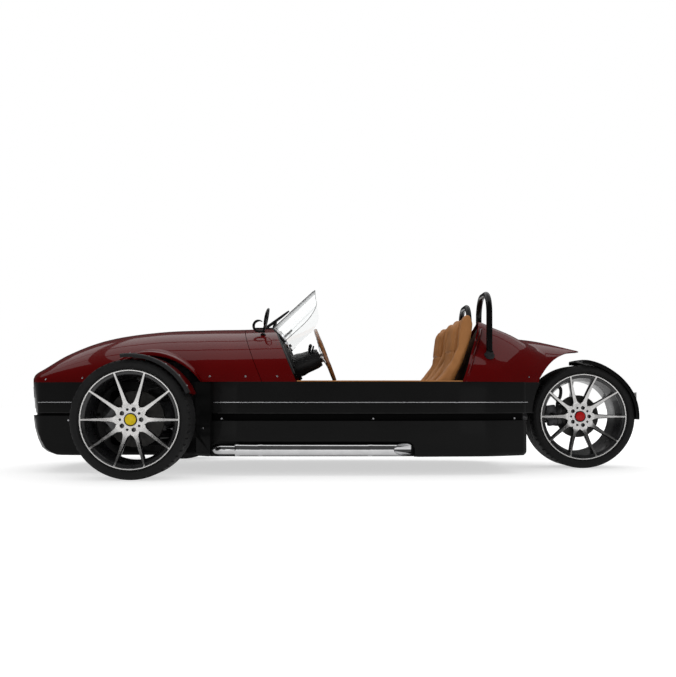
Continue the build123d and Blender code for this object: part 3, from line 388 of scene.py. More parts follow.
def relief(material, scale, strength, distance, stretch=(1, 1, 1), kind="ShaderNodeTexNoise"):
    """Adds fine bumps, such as grain, orange peel or brushing."""
    tree = material.node_tree
    shader = tree.nodes["Principled BSDF"]
    texture = textured(material, kind, scale, stretch)
    bump = tree.nodes.new("ShaderNodeBump")
    bump.inputs["Strength"].default_value = strength
    bump.inputs["Distance"].default_value = distance
    source = "Distance" if kind == "ShaderNodeTexVoronoi" else "Fac"
    tree.links.new(texture.outputs[source], bump.inputs["Height"])
    tree.links.new(bump.outputs["Normal"], shader.inputs["Normal"])


def outward(bm, inside):
    """Turns every face away from a point inside the form."""
    bmesh.ops.recalc_face_normals(bm, faces=bm.faces)
    total = sum((f.calc_center_median() - Vector(inside)).dot(f.normal) * f.calc_area() for f in bm.faces)
    if total < 0:
        bmesh.ops.reverse_faces(bm, faces=bm.faces)


def surface_normals(bm):
    bm.normal_update()
    return {vert: vert.normal.copy() for vert in bm.verts}


def thicken(bm, wall, normals):
    """Adds an inner skin to a shell, set in along the uncut surface's normals, and closes its rim."""
    rim = [edge for edge in bm.edges if edge.is_boundary]
    made = bmesh.ops.duplicate(bm, geom=bm.verts[:] + bm.edges[:] + bm.faces[:])
    twin = {}
    for vert, normal in normals.items():
        if vert.is_valid:
            twin[vert] = made["vert_map"][vert]
            twin[vert].co = vert.co - normal * wall
    inner = [item for item in made["geom"] if isinstance(item, bmesh.types.BMFace)]
    bmesh.ops.reverse_faces(bm, faces=inner)
    for edge in rim:
        a, b = edge.verts
        bm.faces.new((b, a, twin[a], twin[b]))
    bmesh.ops.recalc_face_normals(bm, faces=bm.faces)
    if bm.calc_volume(signed=True) < 0:
        bmesh.ops.reverse_faces(bm, faces=bm.faces)


def open_arch(bm, centre_x, radius, reach_y, reach=0.016):
    """Opens a round wheel arch in a shell's side, with its rim drawn onto the circle."""
    inside = []
    for face in bm.faces:
        middle = face.calc_center_median()
        away = math.hypot(middle.x - centre_x, middle.z - wheel_z)
        if away < radius and abs(middle.y) >= reach_y:
            inside.append(face)
    bmesh.ops.delete(bm, geom=inside, context="FACES")
    for vert in bm.verts:
        offset = Vector((vert.co.x - centre_x, 0, vert.co.z - wheel_z))
        near = abs(offset.length - radius) < reach and vert.is_boundary and abs(vert.co.y) >= reach_y
        if near and vert.co.z > belt_z + 0.001:
            offset = offset.normalized() * radius
            vert.co.x = centre_x + offset.x
            vert.co.z = wheel_z + offset.z


maroon = principled("maroon_lacquer", (0.090, 0.0005, 0.0007), 0.30, coat=0.52, specular=0.02)
vary(maroon, 3.0, (0.084, 0.0004, 0.0006), (0.097, 0.0006, 0.0009), 0.27, 0.34)
relief(maroon, 900.0, 0.02, 0.0004)


def nose_edge(y, z):
    return nose_centre_x - math.sqrt(nose_radius**2 - y * y)


def upper_shell(lengthwise, across, start, end, with_nose):
    """A fine grid bent into the hood or the cowl, with its lower edge turned down to the belt."""
    bm = bmesh.new()
    bmesh.ops.create_grid(bm, x_segments=lengthwise, y_segments=across, size=1)
    hem = []
    for edge in bm.edges:
        a, b = edge.verts
        at_side = abs(a.co.y) > 0.999 and abs(b.co.y) > 0.999 and a.co.y * b.co.y > 0
        at_nose = with_nose and a.co.x < -0.999 and b.co.x < -0.999
        if at_side or at_nose:
            hem.append(edge)
    for vert in bm.verts:
        vert.co = hood_point((vert.co.x + 1) / 2, vert.co.y, start, end)
        if with_nose:
            vert.co = round_nose(vert.co)
    for vert in bmesh.ops.extrude_edge_only(bm, edges=hem)["geom"]:
        if isinstance(vert, bmesh.types.BMVert):
            vert.co.z = belt_z
    outward(bm, (-0.9, 0, 0.4))
    normals = surface_normals(bm)
    if with_nose:
        open_arch(bm, flare_centre_x, flare_radius + 0.007, 0.3)
    thicken(bm, shell_wall, normals)
    return bm


def seam_before(y, z):
    return leaning(cowl_front_x, z, hood_seam_lean) - seam_gap


def seam_after(y, z):
    return leaning(cowl_front_x, z, hood_seam_lean)


def cowl_back(y, z):
    return leaning(cowl_rear_x, z, seam_lean)


hood_bm = upper_shell(150, 144, nose_edge, seam_before, True)
hood = finish_piece(hood_bm, "hood_shell", "chassis", "body_maroon", ["hood"], maroon)
cowl_bm = upper_shell(24, 144, seam_after, cowl_back, False)
cowl = finish_piece(cowl_bm, "cowl_shell", "chassis", "body_maroon", ["cowl"], maroon)


# Arch flares: a narrow shelf moulded round each front wheel arch, with a flat upright rim. It is
# widest over the axle and fades out at the belt.
flare_lip_y = 0.588
# angle round the arch, radius where the shelf meets the hood's side
flare_rows = ((35.5, 0.360), (66.0, 0.380), (93.0, 0.393), (120.0, 0.388), (144.5, 0.364))


def hood_side(x, z):
    share = min(max((z - belt_z - side_lip) / (along(hood_rows, x) - belt_z - side_lip), 0.0), 1.0)
    return half_width(x, hood_plan) * math.sqrt(1 - share * share)


bm = bmesh.new()
for side in (-1, 1):
    rings = []
    for k in range(121):
        angle = 35.7 + (144.3 - 35.7) * k / 120
        outer = along(flare_rows, angle)
        fold = flare_radius + (outer - flare_radius) * 0.42
        c = math.cos(math.radians(angle))
        s = math.sin(math.radians(angle))
        y_in = hood_side(flare_centre_x + flare_radius * c, wheel_z + flare_radius * s)
        y_out = hood_side(flare_centre_x + outer * c, wheel_z + outer * s)
        section = (
            (flare_radius, y_in - 0.012), (flare_radius, flare_lip_y - 0.003),
            (flare_radius + 0.0010, flare_lip_y - 0.0008),
            (flare_radius + 0.0025, flare_lip_y), (fold - 0.003, flare_lip_y), (fold, flare_lip_y - 0.0015),
            (fold + 0.0022, flare_lip_y - 0.005),
            (fold + (outer - fold) * 0.45, flare_lip_y + (y_out - flare_lip_y) * 0.40),
            (outer - 0.003, y_out + 0.010), (outer, y_out + 0.002), (outer + 0.001, y_out - 0.010),
        )
        rings.append([bm.verts.new((flare_centre_x + r * c, side * y, wheel_z + r * s)) for r, y in section])
    for before, after in zip(rings, rings[1:]):
        for j in range(11):
            bm.faces.new((before[j], before[(j + 1) % 11], after[(j + 1) % 11], after[j]))
    bm.faces.new(rings[0][::-1])
    bm.faces.new(rings[-1])
bmesh.ops.recalc_face_normals(bm, faces=bm.faces)
finish_piece(bm, "arch_flares", "chassis", "body_maroon", [], maroon, angle=40)


# Rear deck: one maroon shell that tapers to a boat tail over the rear wheel, with a streamlined
# fairing moulded in behind each seat and a round arch cut for the rear wheel.
deck_lean = 0.375
deck_front_x = 0.816
deck_top_z = 0.854
tail_tip_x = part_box("rear_deck")[1].x
rear_arch_radius = 0.399
fairing_y = 0.347
# x, half width at the belt, height of the crown
deck_rows = (
    (0.560, 0.612, 0.806), (0.857, 0.572, 0.802), (1.078, 0.450, 0.790), (1.236, 0.330, 0.772),
    (1.490, 0.150, 0.717),
)
# x, half width of the fairing, its height over the deck
fairing_rows = ((0.640, 0.205, 0.118), (0.830, 0.205, 0.114), (0.903, 0.200, 0.090), (1.025, 0.175, 0.060),
                (1.120, 0.140, 0.030), (1.230, 0.110, 0.0))


def deck_height(x, y, z):
    """The deck's height with the fairing behind each seat added."""
    side = (abs(y) - fairing_y) / along(fairing_rows, x, 1)
    if x > fairing_rows[-1][0] or abs(side) >= 1:
        return z
    return z + max(0.0, along(fairing_rows, x, 2)) * (1 - side * side) ** 2


def deck_point(u, v):
    turn = v * math.pi / 2

    def section(x):
        rise = along(deck_rows, x, 2) - belt_z - side_lip
        y = along(deck_rows, x, 1) * math.sin(turn)
        return y, deck_height(x, y, belt_z + side_lip + rise * math.cos(turn))
    x0 = 0.8
    for _ in range(14):
        y, z = section(x0)
        x0 += (deck_front_x - (deck_top_z - z) * deck_lean - x0) * 0.7
    x = x0 + (tail_tip_x - x0) * u
    y, z = section(x)
    return Vector((x, y, z))


bm = bmesh.new()
bmesh.ops.create_grid(bm, x_segments=130, y_segments=184, size=1)
hem = [e for e in bm.edges if abs(e.verts[0].co.y) > 0.999 and abs(e.verts[1].co.y) > 0.999]
for vert in bm.verts:
    vert.co = deck_point((vert.co.x + 1) / 2, vert.co.y)
for vert in bmesh.ops.extrude_edge_only(bm, edges=hem)["geom"]:
    if isinstance(vert, bmesh.types.BMVert):
        vert.co.z = belt_z
outward(bm, (1.0, 0, 0.4))
deck_normals = surface_normals(bm)
open_arch(bm, rear_axle_x, rear_arch_radius, 0.0, 0.010)
thicken(bm, shell_wall, deck_normals)
deck = finish_piece(bm, "rear_deck_shell", "chassis", "body_maroon", ["rear_deck"], maroon)


# Lower body: two deep side panels and a rounded nose, moulded in black and polished to a gloss,
# with a long recess above the exhaust. The panels and nose keep their CAD form; the recess's faces get a
# darker, duller black as painted shade.
def dress(node, *materials, bevel=0.0, angle=32.0):
    """Gives a CAD node its finish, and where asked a small rounded edge."""
    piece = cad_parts[node]
    piece.data.materials.clear()
    for material in materials:
        piece.data.materials.append(material)
    shade(piece.data, angle)
    weld = piece.modifiers.new("weld", "WELD")
    weld.merge_threshold = 0.00002
    if bevel:
        round_off = piece.modifiers.new("rounded", "BEVEL")
        round_off.width = bevel
        round_off.segments = 2
        round_off.limit_method = "ANGLE"
        round_off.angle_limit = math.radians(40)
    even = piece.modifiers.new("even", "WEIGHTED_NORMAL")
    even.keep_sharp = True
    return piece


gloss_black = principled("gloss_black", (0.0044, 0.0044, 0.0044), 0.34, coat=0.03, specular=0.12)
vary(gloss_black, 4.0, (0.0039, 0.0039, 0.0039), (0.0050, 0.0050, 0.0050), 0.30, 0.38)
relief(gloss_black, 700.0, 0.02, 0.0004)
# Painted shade: a darker, rougher black for the faces inside the recess, standing in for the shade under the
# shelf.
painted_recess_shade = principled("recess_painted_shade", (0.0008, 0.0008, 0.0008), 0.55, specular=0.05)
vary(painted_recess_shade, 9.0, (0.0006, 0.0006, 0.0006), (0.0011, 0.0011, 0.0011), 0.50, 0.62)
shelf_z = 0.341
recess_z = 0.299
# Faces between the recess floor and the shelf that do not face up take the painted shade black.
for name in ("side_panel_left", "side_panel_right", "nose_panel"):
    panel = dress(name, gloss_black, painted_recess_shade, bevel=0.0026)
    for polygon in panel.data.polygons:
        heights = [panel.data.vertices[k].co.z for k in polygon.vertices]
        if recess_z < min(heights) and max(heights) < shelf_z + 0.001 and polygon.normal.z < 0.5:
            polygon.material_index = 1
satin_black = principled("satin_black", (0.010, 0.010, 0.0105), 0.44, specular=0.3)
vary(satin_black, 30.0, (0.008, 0.008, 0.0085), (0.013, 0.013, 0.0135), 0.38, 0.52)
relief(satin_black, 600.0, 0.10, 0.0006)
dress("floor_pan", satin_black)
dress("firewall", satin_black)
bulkhead = dress("rear_bulkhead", satin_black, maroon)
for polygon in bulkhead.data.polygons:
    if abs(polygon.normal.x) < 0.5 and polygon.center.z > belt_z:
        polygon.material_index = 1


# Fixings and pinstripe: small domed bolts along the belt and in the recess, and one thin silver
# line along the side, all set on the body's own surface.
bright_steel = principled("bright_steel", (0.62, 0.62, 0.64), 0.28, metallic=1.0)
vary(bright_steel, 60.0, (0.55, 0.55, 0.57), (0.70, 0.70, 0.72), 0.22, 0.36)
relief(bright_steel, 900.0, 0.06, 0.0004)
shelf_bolt_z = 0.312
stripe_z = 0.4015
stripe_height = 0.0034
stripe_depth = 0.0008
belt_bolts = ((-1.652, 0.531), (-1.434, 0.539), (-0.700, 0.545), (-0.502, 0.545), (-0.328, 0.545))
deck_bolt = (1.088, 0.545)
shelf_bolts = ((-0.636, shelf_bolt_z, 0.020), (0.199, shelf_bolt_z, 0.020), (0.998, shelf_bolt_z, 0.020),
               (-1.518, 0.300, 0.0), (-0.742, 0.258, 0.0))


def tube(bm, points, radius, segments=12, closed=False):
    """A round cord or tube along a list of points."""
    points = [Vector(p) for p in points]
    count = len(points)
    rings = []
    up = None
    for k, point in enumerate(points):
        if closed:
            ahead = points[(k + 1) % count] - points[k - 1]
        else:
            ahead = points[min(k + 1, count - 1)] - points[max(k - 1, 0)]
        ahead.normalize()
        if up is None:
            up = ahead.orthogonal().normalized()
        up = (up - ahead * up.dot(ahead)).normalized()
        side = ahead.cross(up)
        size = radius[k] if isinstance(radius, (list, tuple)) else radius
        rings.append([bm.verts.new(point + (up * math.cos(a) + side * math.sin(a)) * size)
                      for a in (j * 2 * math.pi / segments for j in range(segments))])
    pairs = list(zip(rings, rings[1:])) + ([(rings[-1], rings[0])] if closed else [])
    for before, after in pairs:
        shift = 0
        if closed and before is rings[-1]:
            shift = min(range(segments), key=lambda s: (before[0].co - after[s].co).length)
        for j in range(segments):
            bm.faces.new((before[j], before[(j + 1) % segments], after[(j + 1 + shift) % segments],
                          after[(j + shift) % segments]))
    if not closed:
        bm.faces.new(rings[0][::-1])
        bm.faces.new(rings[-1])


def rounded_line(points, steps=6):
    """Softens a list of points into a smooth line."""
    points = [Vector(p) for p in points]
    line = []
    for k in range(len(points) - 1):
        before = points[max(k - 1, 0)]
        a = points[k]
        b = points[k + 1]
        after = points[min(k + 2, len(points) - 1)]
        for j in range(steps):
            t = j / steps
            line.append(0.5 * ((2 * a) + (b - before) * t + (2 * before - 5 * a + 4 * b - after) * t * t
                               + (3 * a - before - 3 * b + after) * t**3))
    line.append(points[-1])
    return line


def bolt_head(bm, place, normal, radius=0.0045):
    """A washer and a domed head, facing along the normal."""
    turn = Vector((0, 0, 1)).rotation_difference(Vector(normal)).to_matrix().to_4x4()
    spot = Matrix.Translation(place) @ turn
    bmesh.ops.create_cone(bm, cap_ends=True, segments=20, radius1=radius * 1.35, radius2=radius * 1.3,
                          depth=0.0012, matrix=spot)
    bmesh.ops.create_cone(bm, cap_ends=True, segments=20, radius1=radius, radius2=radius * 0.62,
                          depth=0.0036, matrix=spot @ Matrix.Translation((0, 0, 0.0018)))


bm = bmesh.new()
for side in (-1, 1):
    for x, z in belt_bolts:
        bolt_head(bm, (x, side * hood_side(x, z), z), (0, side, (z - belt_z) * 2))
    y = along(deck_rows, deck_bolt[0], 1)
    bolt_head(bm, (deck_bolt[0], side * (y - 0.001), deck_bolt[1]), (0.4, side, 0.1))
    for x, z, depth in shelf_bolts:
        bolt_head(bm, (x, side * (half_width(x) - depth), z), (0, side, 0), 0.0038)
finish_piece(bm, "body_bolts", "chassis", "damper_steel", [], bright_steel)

# start, end, height above the ground and width of each length of the line
stripes = ((-1.700, -1.500, stripe_z, stripe_height), (-0.680, 1.078, stripe_z, stripe_height))
bm = bmesh.new()
for side in (-1, 1):
    for x0, x1, z, height in stripes:
        steps = max(2, round((x1 - x0) / 0.02))
        rows = []
        for k in range(steps + 1):
            x = x0 + (x1 - x0) * k / steps
            inner = side * (half_width(x) - 0.001)
            outer = side * (half_width(x) + stripe_depth)
            rows.append([bm.verts.new((x, y, z + dz * height / 2))
                         for y, dz in ((inner, -1), (outer, -1), (outer, 1), (inner, 1))])
        for before, after in zip(rows, rows[1:]):
            for j in range(4):
                bm.faces.new((before[j], before[(j + 1) % 4], after[(j + 1) % 4], after[j]))
        bm.faces.new(rows[0])
        bm.faces.new(rows[-1][::-1])
bmesh.ops.recalc_face_normals(bm, faces=bm.faces)
finish_piece(bm, "pinstripe", "chassis", "damper_steel", [], bright_steel)

# Painted highlight: a thin grey cord along the shelf's edge stands in for the light that edge catches.
painted_edge_highlight = principled("painted_edge_highlight", (0.030, 0.030, 0.030), 0.45, specular=0.2)
vary(painted_edge_highlight, 25.0, (0.024, 0.024, 0.024), (0.038, 0.038, 0.038), 0.40, 0.52)
bm = bmesh.new()
for side in (-1, 1):
    for x0, x1 in ((-1.690, -1.500), (-0.655, 1.110)):
        line = []
        for k in range(61):
            x = x0 + (x1 - x0) * k / 60
            line.append((x, side * (half_width(x) - 0.0006), shelf_z + 0.0014))
        tube(bm, line, 0.0013, 8)
bmesh.ops.recalc_face_normals(bm, faces=bm.faces)
finish_piece(bm, "shelf_highlight_beads", "chassis", "body_black", [], painted_edge_highlight)


# Tyres: low black road tyres with ribbed sidewalls, three grooves round the tread and short cross
# grooves in the shoulders. Each is one moulded rubber ring, seated on its rim.
rubber = principled("tyre_rubber", (0.0095, 0.0095, 0.0097), 0.70, specular=0.28)
vary(rubber, 14.0, (0.0075, 0.0075, 0.0077), (0.0130, 0.0130, 0.0132), 0.62, 0.80)
relief(rubber, 420.0, 0.16, 0.0010)
tyre_steps = 168
flange_radius = 0.259
bead_radius = 0.241
front_half_rim = 0.1015
rear_half_rim = 0.125


def spun(outline, steps, angle=2 * math.pi):
    """A ring turned about Z from a closed outline of (radius, height) points."""
    bm = bmesh.new()
    verts = [bm.verts.new((r, 0, z)) for r, z in outline]
    edges = [bm.edges.new((a, b)) for a, b in zip(verts, verts[1:] + verts[:1])]
    whole = abs(angle - 2 * math.pi) < 1e-6
    bmesh.ops.spin(bm, geom=verts + edges, cent=(0, 0, 0), axis=(0, 0, 1), angle=angle, steps=steps,
                   use_merge=whole, use_duplicate=False)
    if not whole:
        bmesh.ops.holes_fill(bm, edges=[e for e in bm.edges if e.is_boundary])
    bmesh.ops.recalc_face_normals(bm, faces=bm.faces)
    if bm.calc_volume(signed=True) < 0:
        bmesh.ops.reverse_faces(bm, faces=bm.faces)
    return bm


def wheel_place(x, y, side):
    """Takes a wheel drawn about Z, outer face up, to its axle with that face outboard."""
    return Matrix.Translation((x, y, wheel_z)) @ Matrix.Rotation(-side * math.pi / 2, 4, "X")


wheel_rows = (
    # which wheel, body, place, half tyre width, half rim width, face depth
    ("front_left", "left_wheel", wheel_place(front_axle_x, -front_wheel_y, -1), 0.1125, front_half_rim,
     0.030),
    ("front_right", "right_wheel", wheel_place(front_axle_x, front_wheel_y, 1), 0.1125, front_half_rim,
     0.030),
    ("rear", "rear_wheel", wheel_place(rear_axle_x, 0.0, -1), 0.1375, rear_half_rim, 0.070),
)


def tyre_outline(half, half_rim):
    r = wheel_radius
    edge = half_rim - 0.005
    wall = [
        (bead_radius, half_rim - 0.012), (0.2505, edge - 0.0035), (flange_radius + 0.0006, edge),
        (0.2615, edge + 0.006), (0.2640, edge + 0.0085), (0.2655, edge + 0.0072), (0.270, half - 0.0022),
        (0.2722, half - 0.0006), (0.2745, half - 0.0016), (0.284, half), (0.291, half - 0.0004),
        (0.2918, half + 0.0000), (0.2932, half - 0.0002), (0.294, half - 0.0012), (0.300, half - 0.0036),
        (0.3052, half - 0.0078), (0.3090, half - 0.0132), (r - 0.0022, half - 0.0200),
        (r - 0.0009, half - 0.028),
    ]
    tread = [(r, half - 0.036)]
    # middle of each groove, half its width, and a wide tyre's are wider
    wide_rows = ((half - 0.052, 0.008), (0.024, 0.009))
    narrow_rows = ((half - 0.050, 0.007), (0.020, 0.008))
    groove_rows = wide_rows if half > 0.12 else narrow_rows
    for centre, width in groove_rows:
        tread += [(r, centre + width / 2), (r - 0.0062, centre + width / 2 - 0.001),
                  (r - 0.0062, centre - width / 2 + 0.001), (r, centre - width / 2)]
    upper = wall + tread
    return upper + [(a, -b) for a, b in reversed(upper)]


for name, body, place, half, half_rim, face_depth in wheel_rows:
    bm = spun(tyre_outline(half, half_rim), tyre_steps)
    shoulder = []
    for face in bm.faces:
        middle = face.calc_center_median()
        radius = math.hypot(middle.x, middle.y)
        step = int((math.atan2(middle.y, middle.x) / (2 * math.pi) * tyre_steps) % tyre_steps)
        outer_rib = half - 0.047 < abs(middle.z) < half - 0.010
        if radius > 0.306 and outer_rib and step % 3 == 0 and abs(face.normal.z) < 0.9:
            shoulder.append(face)
    bmesh.ops.inset_individual(bm, faces=shoulder, thickness=0.0034, depth=-0.0048)
    bmesh.ops.transform(bm, matrix=place, verts=bm.verts)
    node = name.replace("_", "_tyre_") if "_" in name else name + "_tyre"
    finish_piece(bm, name + "_rubber", body, "tyre_rubber", [node], rubber, angle=28)


# Wheels: cast alloy with ten slim spokes that flare into the hub, faces and lip turned bright on a
# lathe, and sides and barrel in black. A ring of bolt pockets surrounds a coloured centre cap.
machined = principled("machined_face", (0.70, 0.69, 0.68), 0.27, metallic=1.0, coat=0.1)
vary(machined, 40.0, (0.62, 0.61, 0.60), (0.78, 0.77, 0.76), 0.22, 0.33, stretch=(1, 0.2, 1))
relief(machined, 420.0, 0.10, 0.0005, stretch=(1, 0.1, 1))
wheel_black = principled("wheel_black", (0.010, 0.010, 0.011), 0.30, coat=0.4)
vary(wheel_black, 25.0, (0.008, 0.008, 0.009), (0.014, 0.014, 0.015), 0.24, 0.38)
relief(wheel_black, 500.0, 0.05, 0.0005)
cap_colours = {"left_wheel": (0.74, 0.54, 0.006), "right_wheel": (0.74, 0.54, 0.006),
               "rear_wheel": (0.50, 0.004, 0.003)}
hub_radius = 0.0785
hub_thickness = 0.045
spoke_count = 10
pocket_circle = 0.055
cap_radius = 0.0285
# radius, half width at the face, half width at the back, share of the way out to the flange
spoke_rows = (
    (0.0700, 0.0215, 0.0220, 0.000), (0.0785, 0.0215, 0.0225, 0.000), (0.0830, 0.0170, 0.0200, 0.000),
    (0.0880, 0.0138, 0.0180, 0.005), (0.0950, 0.0114, 0.0160, 0.015), (0.1080, 0.0096, 0.0142, 0.040),
    (0.1500, 0.0074, 0.0118, 0.200), (0.1950, 0.0056, 0.0098, 0.500), (0.2250, 0.0047, 0.0092, 0.780),
    (0.2480, 0.0046, 0.0100, 0.990), (0.2540, 0.0050, 0.0104, 1.000),
)


def barrel_outline(h):
    """The rim's section, with h half its width: lip, drop centre, back lip and the tyre's seats."""
    return [
        (flange_radius, h), (flange_radius - 0.0030, h + 0.0004), (flange_radius - 0.0066, h - 0.0004),
        (0.2475, h - 0.0060), (0.2440, h - 0.0075), (0.2370, h - 0.0090), (0.2340, h - 0.0125),
        (0.2330, h - 0.024), (0.2175, h - 0.070), (0.2165, 0.0), (0.2165, -h + 0.026), (0.2310, -h + 0.012),
        (0.2310, -h), (flange_radius, -h), (flange_radius, -h + 0.005), (bead_radius, -h + 0.012),
        (bead_radius, -h + 0.034), (0.226, -h + 0.046), (0.226, h - 0.062), (bead_radius, h - 0.034),
        (bead_radius, h - 0.012), (flange_radius, h - 0.005),
    ]


def add_spoke(bm, turn, half_rim, face_depth):
    """One spoke: a tapering bar whose face is narrower than its back."""
    spin = Matrix.Rotation(turn, 4, "Z")
    face_z = half_rim - face_depth
    rings = []
    for r, face_half, back_half, share in spoke_rows:
        top = face_z + 0.0002 + share * (face_depth - 0.0006)
        back = face_z - hub_thickness + 0.012 + share * (face_depth - 0.002) * 0.8
        corners = ((face_half, top), (back_half, top - 0.011), (back_half * 0.86, back),
                   (-back_half * 0.86, back), (-back_half, top - 0.011), (-face_half, top))
        rings.append([bm.verts.new(spin @ Vector((r, y, z))) for y, z in corners])
    for before, after in zip(rings, rings[1:]):
        for j in range(6):
            k = (j + 1) % 6
            face = bm.faces.new((before[j], after[j], after[k], before[k]))
            face.material_index = 0 if j == 5 else 1
    bm.faces.new(rings[0][::-1]).material_index = 1
    bm.faces.new(rings[-1]).material_index = 1


for name, body, place, half, half_rim, face_depth in wheel_rows:
    face_z = half_rim - face_depth
    bm = spun(barrel_outline(half_rim), 144)
    for face in bm.faces:
        middle = face.calc_center_median()
        radius = math.hypot(middle.x, middle.y)
        lip = middle.z > half_rim - 0.0020 and radius < flange_radius - 0.0005
        face.material_index = 0 if lip else 1
    hub = spun([(0.0, face_z - hub_thickness), (hub_radius - 0.004, face_z - hub_thickness),
                (hub_radius, face_z - hub_thickness + 0.004), (hub_radius, face_z - 0.0015),
                (hub_radius - 0.0015, face_z), (cap_radius + 0.0065, face_z),
                (cap_radius + 0.0055, face_z - 0.003),
                (cap_radius + 0.0010, face_z - 0.004), (0.0, face_z - 0.004)], 144)
    bmesh.ops.remove_doubles(hub, verts=hub.verts, dist=0.00002)
    for face in hub.faces:
        middle = face.calc_center_median()
        flat = face.normal.z > 0.6 and math.hypot(middle.x, middle.y) > cap_radius + 0.0055
        face.material_index = 0 if flat else 1
    hub_mesh = bpy.data.meshes.new("hub_blank")
    hub.to_mesh(hub_mesh)
    hub.free()
    hub_mesh.materials.append(machined)
    hub_mesh.materials.append(wheel_black)
    hub_piece = bpy.data.objects.new("hub_blank", hub_mesh)
    bpy.context.scene.collection.objects.link(hub_piece)
    drill = bmesh.new()
    for index in range(spoke_count):
        turn = index * 2 * math.pi / spoke_count
        radius = 0.0125 if index % 2 == 0 else 0.0072
        spot = Matrix.Translation((pocket_circle * math.cos(turn), pocket_circle * math.sin(turn), face_z))
        bmesh.ops.create_cone(drill, cap_ends=True, segments=32, radius1=radius * 0.92, radius2=radius * 1.02,
                              depth=0.044, matrix=spot)
    drill_mesh = bpy.data.meshes.new("drill")
    drill.to_mesh(drill_mesh)
    drill.free()
    drill_mesh.materials.append(wheel_black)
    drill_piece = bpy.data.objects.new("drill", drill_mesh)
    bpy.context.scene.collection.objects.link(drill_piece)
    cut = hub_piece.modifiers.new("pockets", "BOOLEAN")
    cut.object = drill_piece
    cut.operation = "DIFFERENCE"
    cut.solver = "EXACT"
    cut.material_mode = "TRANSFER"
    bpy.context.view_layer.update()
    shaped = bpy.data.meshes.new_from_object(hub_piece.evaluated_get(bpy.context.evaluated_depsgraph_get()))
    bm.from_mesh(shaped)
    for spent in (hub_piece, drill_piece):
        bpy.data.objects.remove(spent)
    for index in range(spoke_count):
        add_spoke(bm, index * 2 * math.pi / spoke_count, half_rim, face_depth)
    bmesh.ops.transform(bm, matrix=place, verts=bm.verts)
    node = name.replace("_", "_rim_") if "_" in name else name + "_rim"
    finish_piece(bm, name + "_alloy", body, "rim_machined", [node], machined, wheel_black, angle=25)

    cap = spun([(0.0, face_z - 0.004), (cap_radius, face_z - 0.004), (cap_radius, face_z + 0.0035),
                (cap_radius - 0.0020, face_z + 0.0050), (0.018, face_z + 0.0062), (0.0, face_z + 0.0066)], 64)
    bmesh.ops.remove_doubles(cap, verts=cap.verts, dist=0.00002)
    bmesh.ops.transform(cap, matrix=place, verts=cap.verts)
    cap_paint = principled(body + "_cap", cap_colours[body], 0.34, coat=0.1, specular=0.2)
    tone = cap_colours[body]
    vary(cap_paint, 60.0, tuple(c * 0.9 for c in tone), tuple(min(1.0, c * 1.08) for c in tone), 0.25, 0.36)
    finish_piece(cap, name + "_cap", body, "rim_machined", [], cap_paint)


# Brakes, hubs and running gear behind the wheels: iron discs, cast uprights and calipers, black
# tubular frame and wishbones, plain steel shafts and coil dampers, and a cast engine block.
disc_iron = principled("disc_iron", (0.045, 0.043, 0.040), 0.46, metallic=0.3)
vary(disc_iron, 30.0, (0.032, 0.031, 0.029), (0.062, 0.059, 0.055), 0.38, 0.55)
relief(disc_iron, 260.0, 0.14, 0.0005)
cast_alloy = principled("cast_alloy", (0.20, 0.20, 0.205), 0.48, metallic=0.9)
vary(cast_alloy, 50.0, (0.15, 0.15, 0.155), (0.26, 0.26, 0.265), 0.40, 0.58)
relief(cast_alloy, 380.0, 0.25, 0.0008)
engine_grey = principled("engine_grey", (0.09, 0.09, 0.095), 0.50, metallic=0.7)
vary(engine_grey, 20.0, (0.06, 0.06, 0.065), (0.13, 0.13, 0.135), 0.42, 0.62)
relief(engine_grey, 260.0, 0.3, 0.0010)
frame_black = principled("frame_black", (0.012, 0.012, 0.013), 0.35, coat=0.2)
vary(frame_black, 30.0, (0.009, 0.009, 0.010), (0.018, 0.018, 0.019), 0.28, 0.44)
relief(frame_black, 300.0, 0.08, 0.0006)
spring_steel = principled("spring_steel", (0.42, 0.42, 0.44), 0.30, metallic=1.0)
vary(spring_steel, 40.0, (0.34, 0.34, 0.36), (0.50, 0.50, 0.52), 0.24, 0.40)
relief(spring_steel, 400.0, 0.08, 0.0004)
for name in ("front_hub_left", "front_hub_right", "rear_hub"):
    dress(name, disc_iron)
for name in ("knuckle_left", "knuckle_right"):
    dress(name, cast_alloy)
for name in ("wishbones", "front_frame", "swing_arm"):
    dress(name, frame_black)
for name in ("dampers", "rear_damper", "half_shafts", "rack"):
    dress(name, spring_steel)
dress("engine_block", engine_grey)


# Exhausts: one polished chrome tube low on each side, clamped to the sill and cut on a slash.
chrome = principled("chrome", (0.80, 0.80, 0.81), 0.07, metallic=1.0)
vary(chrome, 18.0, (0.76, 0.76, 0.77), (0.84, 0.84, 0.85), 0.04, 0.12)
relief(chrome, 500.0, 0.02, 0.0003)
dress("exhausts", chrome)


# Roll hoops: bent steel tube behind each seat, painted gloss black.
hoop_black = principled("hoop_black", (0.0030, 0.0030, 0.0030), 0.20, coat=0.2, specular=0.12)
vary(hoop_black, 12.0, (0.0026, 0.0026, 0.0026), (0.0036, 0.0036, 0.0036), 0.17, 0.25)
relief(hoop_black, 400.0, 0.02, 0.0004)
dress("roll_hoops", hoop_black)


